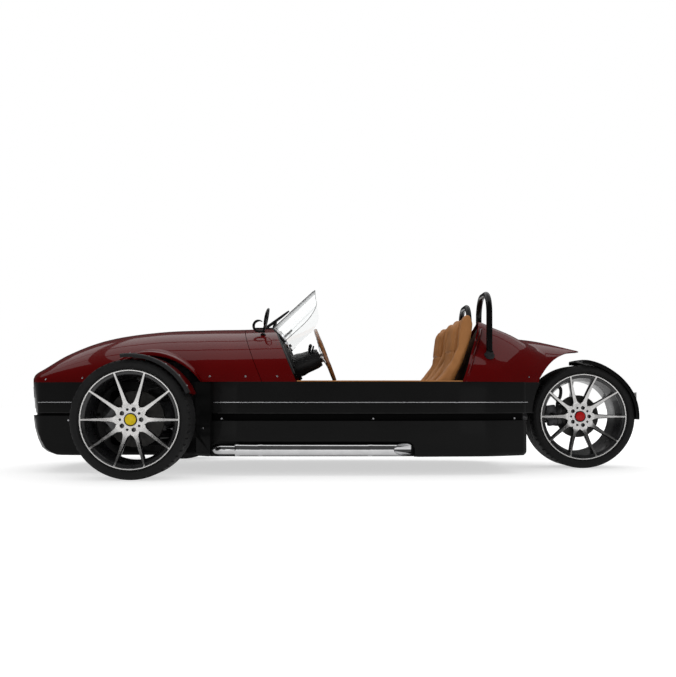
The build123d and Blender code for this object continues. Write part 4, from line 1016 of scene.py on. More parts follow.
# Seats: two tan leather bucket seats. Each has a ribbed insert with two cross seams between smooth,
# fuller bolsters, sewn with dark piping. A cloth pressure solve stuffs the pads before they are sewn.
leather = principled("tan_leather", (0.37, 0.155, 0.046), 0.46, specular=0.3)
vary(leather, 9.0, (0.33, 0.135, 0.038), (0.42, 0.180, 0.056), 0.40, 0.54)
relief(leather, 420.0, 0.35, 0.0010, kind="ShaderNodeTexVoronoi")
piping_leather = principled("seat_piping", (0.19, 0.080, 0.026), 0.42, specular=0.4)
vary(piping_leather, 60.0, (0.16, 0.068, 0.022), (0.22, 0.095, 0.032), 0.36, 0.50)
seat_low, seat_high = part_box("seat_left")
seat_middle_y = (seat_low.y + seat_high.y) / 2
seat_half = (seat_high.y - seat_low.y) / 2
insert_half = 0.132
# Side outlines (x, z) of the bolsters and, set back from them, of the ribbed insert
bolster_profile = (
    (0.135, 0.200), (0.135, 0.306), (0.290, 0.322), (0.410, 0.372), (0.495, 0.460), (0.540, 0.522),
    (0.598, 0.572), (0.652, 0.630), (0.690, 0.712), (0.696, 0.800), (0.704, 0.862), (0.722, 0.894),
    (0.748, 0.898), (0.768, 0.850), (0.762, 0.790), (0.705, 0.620), (0.650, 0.480), (0.605, 0.350),
    (0.560, 0.200),
)
insert_profile = (
    (0.140, 0.190), (0.140, 0.292), (0.330, 0.282), (0.480, 0.264), (0.538, 0.306), (0.578, 0.420),
    (0.618, 0.540), (0.650, 0.650), (0.662, 0.760), (0.672, 0.830), (0.692, 0.874), (0.716, 0.888),
    (0.744, 0.888), (0.760, 0.846), (0.752, 0.790), (0.704, 0.630), (0.652, 0.480), (0.606, 0.350),
    (0.560, 0.190),
)


def pad(profile, y0, y1, voxel):
    """A closed cushion blank of one side outline and width, remeshed into even cells."""
    bm = bmesh.new()
    left = [bm.verts.new((x, y0, z)) for x, z in profile]
    right = [bm.verts.new((x, y1, z)) for x, z in profile]
    bm.faces.new(left)
    bm.faces.new(right[::-1])
    count = len(profile)
    for k in range(count):
        bm.faces.new((left[k], right[k], right[(k + 1) % count], left[(k + 1) % count]))
    bmesh.ops.recalc_face_normals(bm, faces=bm.faces)
    bmesh.ops.bevel(bm, geom=list(bm.edges), offset=0.016, segments=3, profile=0.5, affect="EDGES",
                    material=-1, clamp_overlap=True)
    mesh = bpy.data.meshes.new("pad_blank")
    bm.to_mesh(mesh)
    bm.free()
    blank = bpy.data.objects.new("pad_blank", mesh)
    bpy.context.scene.collection.objects.link(blank)
    cells = blank.modifiers.new("cells", "REMESH")
    cells.mode = "VOXEL"
    cells.voxel_size = voxel
    bpy.context.view_layer.update()
    even = bpy.data.meshes.new_from_object(blank.evaluated_get(bpy.context.evaluated_depsgraph_get()))
    bpy.data.objects.remove(blank)
    return even


def stuffed(mesh, frames=20, cap=0.010, pressure=4.0):
    """Blows the pad up under cloth pressure, with its swelling capped."""
    puffed = bpy.data.objects.new("pad_sim", mesh)
    bpy.context.scene.collection.objects.link(puffed)
    before = [v.co.copy() for v in mesh.vertices]
    cloth = puffed.modifiers.new("cloth", "CLOTH")
    cloth.settings.use_pressure = True
    cloth.settings.uniform_pressure_force = pressure
    cloth.settings.effector_weights.gravity = 0
    cloth.settings.quality = 4
    cloth.point_cache.frame_start = 1
    cloth.point_cache.frame_end = frames
    scene = bpy.context.scene
    for frame_number in range(1, frames + 1):
        scene.frame_set(frame_number)
    after = bpy.data.meshes.new_from_object(puffed.evaluated_get(bpy.context.evaluated_depsgraph_get()))
    for vert, start in zip(after.vertices, before):
        move = vert.co - start
        if move.length > cap:
            vert.co = start + move.normalized() * cap
    bpy.data.objects.remove(puffed)
    scene.frame_set(1)
    return after


def seat_pads():
    """The insert and two bolsters of the left seat, stuffed."""
    bm = bmesh.new()
    rows = (
        (insert_profile, -insert_half - 0.004, insert_half + 0.004),
        (bolster_profile, -seat_half + 0.010, -insert_half - 0.006),
        (bolster_profile, insert_half + 0.006, seat_half - 0.010),
    )
    for profile, y0, y1 in rows:
        mesh = pad(profile, y0, y1, 0.009)
        mesh = stuffed(mesh)
        bm.from_mesh(mesh)
    return bm


rib_pitch = 0.018
rib_depth = 0.0060
cross_seams_z = (0.520, 0.690)


def sew(bm):
    """Presses the ribs' seams into the insert's front and top."""
    for vert in bm.verts:
        x, y, z = vert.co
        if abs(y) > insert_half - 0.004 or z < 0.22:
            continue
        faces_rider = vert.normal.x < 0.2 or (vert.normal.z > 0.5 and z < 0.45)
        if not faces_rider:
            continue
        nearest = round(y / rib_pitch + 0.5) - 0.5
        gap = abs(y - nearest * rib_pitch)
        press = math.exp(-(gap / 0.0045) ** 2)
        for seam_z in cross_seams_z:
            press = max(press, math.exp(-((z - seam_z) / 0.005) ** 2))
        vert.co -= vert.normal * rib_depth * press


bm = seat_pads()
bmesh.ops.subdivide_edges(bm, edges=list(bm.edges), cuts=1, use_grid_fill=True, smooth=0.4)
bm.normal_update()
sew(bm)
bmesh.ops.smooth_vert(bm, verts=bm.verts, factor=0.3, use_axis_x=True, use_axis_y=True, use_axis_z=True)
bmesh.ops.translate(bm, vec=(0, seat_middle_y, 0), verts=bm.verts)
seat_left = finish_piece(bm, "seat_left_pads", "chassis", "seat_leather", ["seat_left"], leather, angle=60)
bm = bmesh.new()
bm.from_mesh(seat_left.data)
bmesh.ops.scale(bm, vec=(1, -1, 1), verts=bm.verts)
bmesh.ops.reverse_faces(bm, faces=bm.faces)
seat_right = finish_piece(bm, "seat_right_pads", "chassis", "seat_leather", ["seat_right"], leather, angle=60)


bm = bmesh.new()
for side in (-1, 1):
    for edge in (-1, 1):
        y_in = side * abs(seat_middle_y) + edge * (insert_half + 0.004)
        seam = [(x + 0.003, y_in, z) for x, z in bolster_profile[7:11]]
        tube(bm, rounded_line(seam), 0.0036, 10)
bmesh.ops.recalc_face_normals(bm, faces=bm.faces)
finish_piece(bm, "seat_piping", "chassis", "seat_leather", [], piping_leather, angle=50)

# Front fenders: a narrow guard over each front wheel on two stays from the upright, so it steers
# with the wheel. The crown is maroon lacquer and a black lip is bolted along its outer edge.
fender_inner = 0.337
fender_start = 23.5
fender_end = 97.0
fender_foot = (0.656, 0.458)
crown_profile = (
    (0.3165, 0.6560), (0.3300, 0.6590), (0.3395, 0.6680), (0.3420, 0.6790), (0.3425, 0.7750),
    (0.3420, 0.8700),
    (0.3380, 0.8700), (0.3375, 0.7750), (0.3370, 0.6800), (0.3350, 0.6720), (0.3270, 0.6630),
    (0.3150, 0.6610),
)
lip_profile = (
    (0.3385, 0.8540), (0.3435, 0.8545), (0.3440, 0.8780), (0.3415, 0.8900), (0.3360, 0.8950),
    (0.3230, 0.8950),
    (0.3230, 0.8915), (0.3340, 0.8910), (0.3380, 0.8860), (0.3385, 0.8760),
)


def guard_strip(bm, profile, start, end, centre_x, side, steps=72, lift=None):
    """A closed section (radius, offset) carried round a wheel's axle from one angle to another."""
    rings = []
    for k in range(steps + 1):
        angle = start + (end - start) * k / steps
        extra = lift(angle) if lift else 0.0
        c = math.cos(math.radians(angle))
        s = math.sin(math.radians(angle))
        rings.append([bm.verts.new((centre_x + (r + extra) * c, side * y, wheel_z + (r + extra) * s))
                      for r, y in profile])
    count = len(profile)
    for before, after in zip(rings, rings[1:]):
        for j in range(count):
            bm.faces.new((before[j], before[(j + 1) % count], after[(j + 1) % count], after[j]))
    bm.faces.new(rings[0][::-1])
    bm.faces.new(rings[-1])
    bmesh.ops.recalc_face_normals(bm, faces=bm.faces)


for name, body, side in (("left", "left_upright", -1), ("right", "right_upright", 1)):
    bm = bmesh.new()
    guard_strip(bm, crown_profile, fender_start, fender_end - 1.5, front_axle_x, side)
    finish_piece(bm, f"fender_{name}_crown", body, "fender_maroon", [f"front_fender_{name}"], maroon)
    bm = bmesh.new()
    guard_strip(bm, lip_profile, fender_start + 1.0, fender_end + 0.8, front_axle_x, side)
    foot_y, foot_z = fender_foot
    spot = Matrix.Translation((front_axle_x, side * foot_y, foot_z))
    spot = spot @ Matrix.Diagonal((0.032, 0.012, 0.024, 1))
    bmesh.ops.create_cube(bm, size=1, matrix=spot)
    for angle in (38, 82):
        c = math.cos(math.radians(angle))
        s = math.sin(math.radians(angle))
        reach = fender_inner - 0.004
        far = (front_axle_x + reach * c, side * 0.700, wheel_z + reach * s)
        near = (front_axle_x, side * foot_y, foot_z + 0.002)
        bend = (front_axle_x + 0.9 * reach * c, side * 0.668, wheel_z + 0.93 * reach * s)
        tube(bm, rounded_line([near, bend, far]), 0.0055)
    bmesh.ops.recalc_face_normals(bm, faces=bm.faces)
    finish_piece(bm, f"fender_{name}_lip", body, "fender_black", [], satin_black)
    bm = bmesh.new()
    for angle in (31, 42, 57, 73, 90):
        c = math.cos(math.radians(angle))
        s = math.sin(math.radians(angle))
        bolt_head(bm, (front_axle_x + 0.3436 * c, side * 0.866, wheel_z + 0.3436 * s), (c, 0, s), 0.0042)
    finish_piece(bm, f"fender_{name}_bolts", body, "damper_steel", [], bright_steel)


# Rear fender: one gloss black guard close over the tyre with turned edges, a little deeper over
# the top, on two stays from the swing arm's side.
rear_guard_start = -3.0
rear_guard_end = 92.0
# angle round the wheel, how far the guard stands off its even curve
guard_lifts = ((-3.0, 0.0040), (4.0, 0.0040), (25.0, 0.002), (42.0, -0.001), (60.0, 0.0), (76.0, 0.008),
               (86.0, 0.014), (92.0, 0.015))
rear_guard = (
    (0.3050, -0.1500), (0.3160, -0.1500), (0.3265, -0.1470), (0.3290, -0.1400), (0.3300, -0.0800),
    (0.3305, 0.0),
    (0.3300, 0.0800), (0.3290, 0.1400), (0.3265, 0.1470), (0.3160, 0.1500), (0.3050, 0.1500),
    (0.3050, 0.1460),
    (0.3150, 0.1455), (0.3230, 0.1400), (0.3240, 0.0), (0.3230, -0.1400), (0.3150, -0.1455),
    (0.3050, -0.1460),
)


bm = bmesh.new()
guard_strip(bm, rear_guard, rear_guard_start, rear_guard_end, rear_axle_x, 1, steps=96,
            lift=lambda angle: along(guard_lifts, angle))
swing_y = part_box("rear_fender")[1].y
for angle in (25, 85):
    c = math.cos(math.radians(angle))
    s = math.sin(math.radians(angle))
    far = (rear_axle_x + 0.318 * c, 0.148, wheel_z + 0.318 * s)
    elbow = (rear_axle_x + 0.200 * c, swing_y - 0.014, wheel_z + 0.200 * s)
    near = (rear_axle_x + 0.040 * c, swing_y - 0.012, wheel_z + 0.052 * s)
    tube(bm, rounded_line([near, elbow, far]), 0.008)
bmesh.ops.recalc_face_normals(bm, faces=bm.faces)
finish_piece(bm, "rear_guard", "chassis", "fender_black", ["rear_fender"], gloss_black)


# Windscreen: one bent clear sheet that leans back over the cowl, polished round its edge, with a
# black clamp on its centre line and a rubber seal along its foot.
clear_sheet = principled("clear_sheet", (0.95, 0.96, 0.96), 0.02, specular=0.12)
clear_sheet.node_tree.nodes["Principled BSDF"].inputs["Transmission Weight"].default_value = 1.0
clear_sheet.node_tree.nodes["Principled BSDF"].inputs["IOR"].default_value = 1.45
relief(clear_sheet, 30.0, 0.01, 0.0004)
seal_rubber = principled("seal_rubber", (0.012, 0.012, 0.013), 0.62, specular=0.3)
vary(seal_rubber, 40.0, (0.010, 0.010, 0.011), (0.017, 0.017, 0.018), 0.55, 0.72)
relief(seal_rubber, 600.0, 0.12, 0.0005)
screen_bend = 0.770
screen_half = 0.448
screen_side = 0.170
screen_shoulder = (0.337, 0.331)
screen_height = 0.389
screen_lean = math.radians(42.2)
screen_foot = (-0.420, 0.829)


def screen_point(y, u, out=0.0):
    """A point on the sheet: y across it, u up its slope and out in front of its face."""
    sag = screen_bend - math.sqrt(screen_bend**2 - y * y)
    sag -= out
    x = screen_foot[0] + u * math.cos(screen_lean) + sag * math.sin(screen_lean)
    z = screen_foot[1] + u * math.sin(screen_lean) - sag * math.cos(screen_lean)
    return Vector((x, y, z))


def screen_top(y):
    """The height of the sheet's rounded outline above a point of its width."""
    shoulder_y, shoulder_u = screen_shoulder
    away = abs(y)
    if away <= shoulder_y:
        return screen_height - (screen_height - shoulder_u) * (away / shoulder_y) ** 2
    t = (away - shoulder_y) / (screen_half - shoulder_y)
    return screen_side + (shoulder_u - screen_side) * math.sqrt(max(0.0, 1 - t * t))


def screen_low(y):
    """Where the sheet meets the cowl."""
    u = 0.0
    for _ in range(30):
        point = screen_point(y, u)
        u += (hood_height(point.x, y) + 0.001 - point.z) * 0.8
    return u


bm = bmesh.new()
columns = []
for k in range(97):
    y = screen_half * math.sin((k / 96 - 0.5) * math.pi)
    low = screen_low(y)
    top = screen_top(y)
    columns.append([bm.verts.new(screen_point(y, low + (top - low) * j / 28)) for j in range(29)])
for before, after in zip(columns, columns[1:]):
    for j in range(28):
        bm.faces.new((before[j], after[j], after[j + 1], before[j + 1]))
bmesh.ops.recalc_face_normals(bm, faces=bm.faces)
if sum(f.normal.x for f in bm.faces) > 0:
    bmesh.ops.reverse_faces(bm, faces=bm.faces)
bmesh.ops.solidify(bm, geom=bm.faces, thickness=0.0035)
finish_piece(bm, "windscreen_sheet", "chassis", "screen", ["windscreen"], clear_sheet, angle=40)

bm = bmesh.new()
foot_line = []
for k in range(81):
    y = screen_half * math.sin((k / 80 - 0.5) * math.pi)
    foot_line.append(screen_point(y, screen_low(y) + 0.001, -0.0025))
tube(bm, foot_line, 0.0055, 10)
tube(bm, [(-0.441, 0, 0.857), (-0.400, 0, 0.885), (-0.340, 0, 0.929), (-0.302, 0, 0.958), (-0.292, 0, 0.966)],
     [0.0095, 0.0095, 0.0085, 0.0062, 0.0034], 12)
tube(bm, [screen_point(0, 0.176 + k * 0.0228, 0.0032) for k in range(10)], 0.0034, 8)
clamp_place = Vector((-0.430, 0, cowl_top_z + 0.0005))
clamp_size = Matrix.Diagonal((0.128, 0.120, 0.011, 1))
bmesh.ops.create_cube(bm, size=1, matrix=Matrix.Translation(clamp_place) @ clamp_size)
bmesh.ops.recalc_face_normals(bm, faces=bm.faces)
finish_piece(bm, "windscreen_seal", "chassis", "hoop_black", [], seal_rubber, angle=40)


# Mirrors: a round head on a curved arm on each side of the cowl, gloss black with plain glass.
mirror_place = (-0.409, 0.345, 0.889)
mirror_radius = 0.059
mirror_glass = principled("mirror_glass", (0.82, 0.83, 0.84), 0.03, metallic=1.0)
vary(mirror_glass, 6.0, (0.80, 0.81, 0.82), (0.84, 0.85, 0.86), 0.02, 0.05)
head_outline = [
    (0.0, -0.0095), (0.020, -0.0090), (0.040, -0.0068), (0.053, -0.0030), (mirror_radius, 0.0030),
    (mirror_radius, 0.0070), (0.0575, 0.0090), (0.0550, 0.0090), (0.0540, 0.0060), (0.0, 0.0060),
]
arm_centre = (-0.450, 0.843)
arm_radius = 0.031
black_bm = bmesh.new()
glass_bm = bmesh.new()
for side in (-1, 1):
    spot = Matrix.Translation((mirror_place[0], side * mirror_place[1], mirror_place[2]))
    spot @= Matrix.Rotation(math.radians(101), 4, "Y")
    head = spun(head_outline, 56)
    bmesh.ops.remove_doubles(head, verts=head.verts, dist=0.00002)
    bmesh.ops.transform(head, matrix=spot, verts=head.verts)
    head_mesh = bpy.data.meshes.new("mirror_head")
    head.to_mesh(head_mesh)
    head.free()
    black_bm.from_mesh(head_mesh)
    glass = spun([(0.0, 0.0058), (0.0538, 0.0058), (0.0538, 0.0068), (0.0, 0.0068)], 56)
    bmesh.ops.remove_doubles(glass, verts=glass.verts, dist=0.00002)
    bmesh.ops.transform(glass, matrix=spot, verts=glass.verts)
    glass_mesh = bpy.data.meshes.new("mirror_face")
    glass.to_mesh(glass_mesh)
    glass.free()
    glass_bm.from_mesh(glass_mesh)
    line = []
    for k in range(25):
        angle = math.radians(52 + 216 * k / 24)
        line.append((arm_centre[0] + arm_radius * math.cos(angle), side * mirror_place[1],
                     arm_centre[1] + arm_radius * math.sin(angle)))
    line.append((mirror_place[0] - 0.012, side * mirror_place[1], line[-1][2] + 0.001))
    tube(black_bm, line, [0.0030 + 0.0048 * smooth(k / 8) for k in range(26)], 12)
    stem_x = mirror_place[0] - 0.010
    tube(black_bm, [(stem_x - 0.006, side * mirror_place[1], line[-1][2] - 0.010),
                    (stem_x - 0.002, side * mirror_place[1], 0.820), (stem_x, side * mirror_place[1], 0.840)],
         [0.0085, 0.0075, 0.0060], 16)
    foot_x = stem_x - 0.006
    foot_z = hood_height(foot_x, mirror_place[1])
    tube(black_bm, [(foot_x, side * mirror_place[1], foot_z - 0.004),
                    (foot_x, side * mirror_place[1], foot_z + 0.004),
                    (foot_x + 0.001, side * mirror_place[1], foot_z + 0.010)], [0.017, 0.016, 0.009], 20)
bmesh.ops.recalc_face_normals(black_bm, faces=black_bm.faces)
finish_piece(black_bm, "mirror_heads", "chassis", "mirror_black", ["mirrors"], hoop_black)
finish_piece(glass_bm, "mirror_faces", "chassis", "mirror_black", [], mirror_glass)


# Dashboard: a black moulded panel under the cowl with a padded roll along its edge, two round
# dials behind the steering wheel, plain switches, and a small hand grip. The dials are unlettered.
dress("dashboard", satin_black, bevel=0.0015)
dial_face = principled("dial_face", (0.010, 0.010, 0.011), 0.22, coat=0.5)
dial_tree = dial_face.node_tree
dial_rings = textured(dial_face, "ShaderNodeTexNoise", 60.0, (1, 1, 1))
dial_bump = dial_tree.nodes.new("ShaderNodeBump")
dial_bump.inputs["Strength"].default_value = 0.05
dial_bump.inputs["Distance"].default_value = 0.0004
dial_tree.links.new(dial_rings.outputs["Fac"], dial_bump.inputs["Height"])
dial_tree.links.new(dial_bump.outputs["Normal"], dial_tree.nodes["Principled BSDF"].inputs["Normal"])
dash_front_x = -0.344
dash_normal = Vector((1.0, 0.0, seam_lean)).normalized()


def dash_place(y, z, out=0.0):
    """A spot on the dashboard's face, turned to look out of it."""
    point = Vector((leaning(dash_front_x, z, seam_lean), y, z)) + dash_normal * out
    return Matrix.Translation(point) @ Vector((0, 0, 1)).rotation_difference(dash_normal).to_matrix().to_4x4()


bezel_bm = bmesh.new()
face_bm = bmesh.new()
for y in (-0.352, -0.248):
    ring = spun([(0.0385, -0.003), (0.0440, -0.003), (0.0440, 0.006), (0.0425, 0.009), (0.0400, 0.0090),
                 (0.0385, 0.0060)], 56)
    bmesh.ops.transform(ring, matrix=dash_place(y, 0.752), verts=ring.verts)
    ring_mesh = bpy.data.meshes.new("dial_ring")
    ring.to_mesh(ring_mesh)
    ring.free()
    bezel_bm.from_mesh(ring_mesh)
    bmesh.ops.create_circle(face_bm, cap_ends=True, segments=48, radius=0.0388,
                            matrix=dash_place(y, 0.752, 0.003))
    for k in range(11):
        turn = Matrix.Rotation(math.radians(-130 + 26 * k), 4, "Z") @ Matrix.Translation((0, 0.032, 0))
        mark = dash_place(y, 0.752, 0.0036) @ turn @ Matrix.Diagonal((0.0012, 0.006, 0.0006, 1))
        bmesh.ops.create_cube(bezel_bm, size=1, matrix=mark)
    needle = dash_place(y, 0.752, 0.0048) @ Matrix.Rotation(math.radians(70), 4, "Z")
    needle @= Matrix.Translation((0, 0.012, 0)) @ Matrix.Diagonal((0.0014, 0.030, 0.0008, 1))
    bmesh.ops.create_cube(bezel_bm, size=1, matrix=needle)
for k in range(5):
    y = -0.080 + 0.040 * k
    spot = dash_place(y, 0.745)
    bmesh.ops.create_cone(bezel_bm, cap_ends=True, segments=24, radius1=0.0085, radius2=0.0080, depth=0.004,
                          matrix=spot)
    lever = spot @ Matrix.Rotation(math.radians(18), 4, "X") @ Matrix.Translation((0, 0, 0.011))
    bmesh.ops.create_cone(bezel_bm, cap_ends=True, segments=16, radius1=0.0022, radius2=0.0034, depth=0.020,
                          matrix=lever)
finish_piece(bezel_bm, "dash_fittings", "chassis", "control_alloy", [], bright_steel)
finish_piece(face_bm, "dial_faces", "chassis", "cabin_black", [], dial_face)

bm = bmesh.new()
roll = []
for k in range(73):
    turn = (k / 72 - 0.5) * math.pi * 0.93
    x = -0.36
    for _ in range(8):
        y, z = hood_section(x, turn)
        x = cowl_back(abs(y), z)
    roll.append((x + 0.004, y * 0.985, belt_z + (z - belt_z) * 0.975))
tube(bm, roll, 0.0100, 14)
grip_y = -0.300
tube(bm, rounded_line([(-0.322, grip_y, 0.770), (-0.302, grip_y, 0.783), (-0.278, grip_y, 0.805),
                       (-0.260, grip_y, 0.822)]), 0.0066, 12)
finish_piece(bm, "dash_roll", "chassis", "cabin_black", [], satin_black, angle=50)


# Steering column: a black shroud with a collar and two stalks, and the shaft below it.
dress("steering_column", satin_black, bevel=0.001)
column_tilt = math.radians(21)
wheel_centre = Vector((-0.069, -0.300, 0.675))
column_axis = Vector((math.cos(column_tilt), 0, math.sin(column_tilt)))
bm = bmesh.new()
pod = [(0.0, -0.340), (0.056, -0.340), (0.068, -0.310), (0.068, -0.150), (0.062, -0.125), (0.058, -0.060),
       (0.050, -0.032), (0.0, -0.030)]
pod_bm = spun(pod, 48)
bmesh.ops.remove_doubles(pod_bm, verts=pod_bm.verts, dist=0.00002)
turn = Vector((0, 0, 1)).rotation_difference(column_axis).to_matrix().to_4x4()
bmesh.ops.transform(pod_bm, matrix=Matrix.Translation(wheel_centre) @ turn, verts=pod_bm.verts)
pod_mesh = bpy.data.meshes.new("column_pod")
pod_bm.to_mesh(pod_mesh)
pod_bm.free()
bm.from_mesh(pod_mesh)
stalk_root = wheel_centre - column_axis * 0.112
for side, rise in ((-1, 0.094), (1, 0.050)):
    tip = stalk_root + Vector((0.022, side * 0.062, rise))
    way = (tip - stalk_root).normalized()
    tube(bm, [stalk_root, tip - way * 0.040, tip - way * 0.034, tip, tip + way * 0.006],
         [0.0050, 0.0050, 0.0088, 0.0098, 0.0060], 14)
bmesh.ops.recalc_face_normals(bm, faces=bm.faces)
finish_piece(bm, "column_pod", "chassis", "cabin_black", [], satin_black)


# Steering wheel: a polished wood rim riveted to a three-spoke alloy spider, with a black boss.
rim_wood = principled("rim_wood", (0.20, 0.075, 0.022), 0.28, coat=0.6)
vary(rim_wood, 22.0, (0.13, 0.045, 0.013), (0.27, 0.110, 0.034), 0.22, 0.34, stretch=(0.4, 0.4, 3.0))
relief(rim_wood, 120.0, 0.06, 0.0005, stretch=(0.3, 0.3, 3.0))
wheel_radius_mid = 0.153
wheel_tube = 0.0112
wheel_frame = Matrix((
    (0, -column_axis.z, column_axis.x, wheel_centre.x),
    (1, 0, 0, wheel_centre.y),
    (0, column_axis.x, column_axis.z, wheel_centre.z),
    (0, 0, 0, 1),
))
section = [(wheel_radius_mid + wheel_tube * math.cos(a), wheel_tube * 0.92 * math.sin(a))
           for a in (k * 2 * math.pi / 20 for k in range(20))]
bm = spun(section, 112)
bmesh.ops.transform(bm, matrix=wheel_frame, verts=bm.verts)
finish_piece(bm, "wheel_rim_wood", "steering_wheel_body", "wheel_wood", ["steering_wheel"], rim_wood)

bm = bmesh.new()
for angle in (90, 210, 330):
    turn = Matrix.Rotation(math.radians(angle), 4, "Z")
    # distance out, half width, height
    rows = ((0.022, 0.0170, -0.020), (0.040, 0.0140, -0.018), (0.070, 0.0105, -0.014),
            (0.110, 0.0105, -0.010),
            (0.132, 0.0135, -0.008), (0.146, 0.0170, -0.006), (0.154, 0.0190, -0.005))
    rings = []
    for r, half, z in rows:
        rings.append([bm.verts.new(turn @ Vector((r, y, z + dz)))
                      for y, dz in ((-half, -0.0016), (half, -0.0016), (half, 0.0016), (-half, 0.0016))])
    for before, after in zip(rings, rings[1:]):
        for j in range(4):
            bm.faces.new((before[j], before[(j + 1) % 4], after[(j + 1) % 4], after[j]))
    bm.faces.new(rings[0][::-1])
    bm.faces.new(rings[-1])
    for hole in (0.062, 0.082, 0.102):
        eyelet = turn @ Matrix.Translation((hole, 0, -0.0125 + (hole - 0.082) * 0.1))
        bmesh.ops.create_cone(bm, cap_ends=True, segments=20, radius1=0.0062, radius2=0.0056, depth=0.0050,
                              matrix=eyelet)
band = spun([(wheel_radius_mid - 0.0075, 0.0088), (wheel_radius_mid + 0.0060, 0.0092),
             (wheel_radius_mid + 0.0052, 0.0118),
             (wheel_radius_mid - 0.0068, 0.0116)], 96)
band_mesh = bpy.data.meshes.new("rim_band")
band.to_mesh(band_mesh)
band.free()
bm.from_mesh(band_mesh)
for k in range(18):
    turn = Matrix.Rotation(2 * math.pi * (k + 0.5) / 18, 4, "Z")
    turn = turn @ Matrix.Translation((wheel_radius_mid, 0, 0.0098))
    bmesh.ops.create_cone(bm, cap_ends=True, segments=12, radius1=0.0026, radius2=0.0018, depth=0.0022,
                          matrix=turn)
boss = spun([(0.0, -0.036), (0.030, -0.036), (0.033, -0.030), (0.033, -0.016), (0.030, -0.010),
             (0.024, -0.008),
             (0.0, -0.008)], 40)
bmesh.ops.remove_doubles(boss, verts=boss.verts, dist=0.00002)
boss_mesh = bpy.data.meshes.new("wheel_boss")
boss.to_mesh(boss_mesh)
boss.free()
bm.from_mesh(boss_mesh)
bmesh.ops.recalc_face_normals(bm, faces=bm.faces)
bmesh.ops.transform(bm, matrix=wheel_frame, verts=bm.verts)
finish_piece(bm, "wheel_spider", "steering_wheel_body", "control_alloy", [], machined, angle=30)
bm = spun([(0.0, -0.0085), (0.022, -0.0085), (0.022, -0.0040), (0.019, -0.0015), (0.0, 0.0005)], 40)
bmesh.ops.remove_doubles(bm, verts=bm.verts, dist=0.00002)
bmesh.ops.transform(bm, matrix=wheel_frame, verts=bm.verts)
finish_piece(bm, "wheel_boss_cap", "steering_wheel_body", "cabin_black", [], hoop_black)


# Pedals, lever and sill trim: plain cast pedals, a lever with a black boot, and a leather edge.
dress("pedals", cast_alloy, bevel=0.001)
dress("sill_trim", leather, bevel=0.002)
bm = spun([(0.0, 0.012), (0.034, 0.012), (0.034, 0.016), (0.026, 0.030), (0.022, 0.034), (0.023, 0.038),
           (0.017, 0.052), (0.014, 0.056), (0.0145, 0.060), (0.011, 0.074), (0.0, 0.074)], 32)
bmesh.ops.remove_doubles(bm, verts=bm.verts, dist=0.00002)
bmesh.ops.translate(bm, vec=(0.018, 0, 0.272), verts=bm.verts)
finish_piece(bm, "lever_boot", "chassis", "cabin_black", [], seal_rubber, angle=50)


# Nose fittings: woven black mesh in both openings, and two faired headlamps, each a clear lens
# that follows the nose over a bright bowl.
dress("grille", satin_black)
lamp_y = 0.272
lamp_z = 0.428
lamp_radius = 0.062
rake_top_z = 0.505
rake_low_z = 0.337
rake_back = 0.015


def nose_face(y, z):
    """The nose's surface, which leans back as it goes down."""
    return nose_edge(y, z) + rake_back * (rake_top_z - z) / (rake_top_z - rake_low_z)


def lamp_form(rows, side, depth_of, wall=0.0):
    """A round form set into the nose: each ring is shifted back by its depth from the surface."""
    bm = bmesh.new()
    rings = []
    for r in rows:
        ring = []
        for k in range(56):
            a = k * 2 * math.pi / 56
            y = side * lamp_y + r * math.cos(a)
            z = lamp_z + r * math.sin(a)
            ring.append(bm.verts.new((nose_face(y, z) + depth_of(r), y, z)))
        rings.append(ring)
    for before, after in zip(rings, rings[1:]):
        for k in range(56):
            bm.faces.new((before[k], before[(k + 1) % 56], after[(k + 1) % 56], after[k]))
    bm.faces.new(rings[0])
    bmesh.ops.recalc_face_normals(bm, faces=bm.faces)
    if sum(f.normal.x for f in bm.faces) > 0:
        bmesh.ops.reverse_faces(bm, faces=bm.faces)
    bmesh.ops.solidify(bm, geom=bm.faces, thickness=wall)
    return bm


lamp_glass = principled("lamp_glass", (0.96, 0.97, 0.98), 0.02)
lamp_glass.node_tree.nodes["Principled BSDF"].inputs["Transmission Weight"].default_value = 1.0
relief(lamp_glass, 90.0, 0.05, 0.0006)
bowl_rows = [0.004 + 0.0545 * k / 14 for k in range(15)]
lens_rows = [0.004 + 0.0560 * k / 14 for k in range(15)]
lens_bm = bmesh.new()
bowl_bm = bmesh.new()
for side in (-1, 1):
    lens = lamp_form(lens_rows, side, lambda r: -0.0035 * (1 - (r / lamp_radius) ** 2), 0.0022)
    lens_mesh = bpy.data.meshes.new("lens")
    lens.to_mesh(lens_mesh)
    lens.free()
    lens_bm.from_mesh(lens_mesh)
    bowl = lamp_form(bowl_rows, side, lambda r: 0.010 + 0.050 * (1 - (r / 0.0585) ** 2), 0.002)
    bowl_mesh = bpy.data.meshes.new("bowl")
    bowl.to_mesh(bowl_mesh)
    bowl.free()
    bowl_bm.from_mesh(bowl_mesh)
    rim_line = []
    for k in range(72):
        a = k * 2 * math.pi / 72
        y = side * lamp_y + (lamp_radius - 0.0016) * math.cos(a)
        z = lamp_z + (lamp_radius - 0.0016) * math.sin(a)
        rim_line.append((nose_face(y, z) + 0.0002, y, z))
    tube(bowl_bm, rim_line, 0.0028, 10, closed=True)
    bulb_x = nose_face(side * lamp_y, lamp_z) + 0.036
    bmesh.ops.create_uvsphere(bowl_bm, u_segments=20, v_segments=12, radius=0.010,
                              matrix=Matrix.Translation((bulb_x, side * lamp_y, lamp_z)))
bmesh.ops.recalc_face_normals(bowl_bm, faces=[f for f in bowl_bm.faces if len(f.verts) == 3])
finish_piece(lens_bm, "headlamp_lenses", "chassis", "lamp_glass", ["headlamps"], lamp_glass, angle=40)
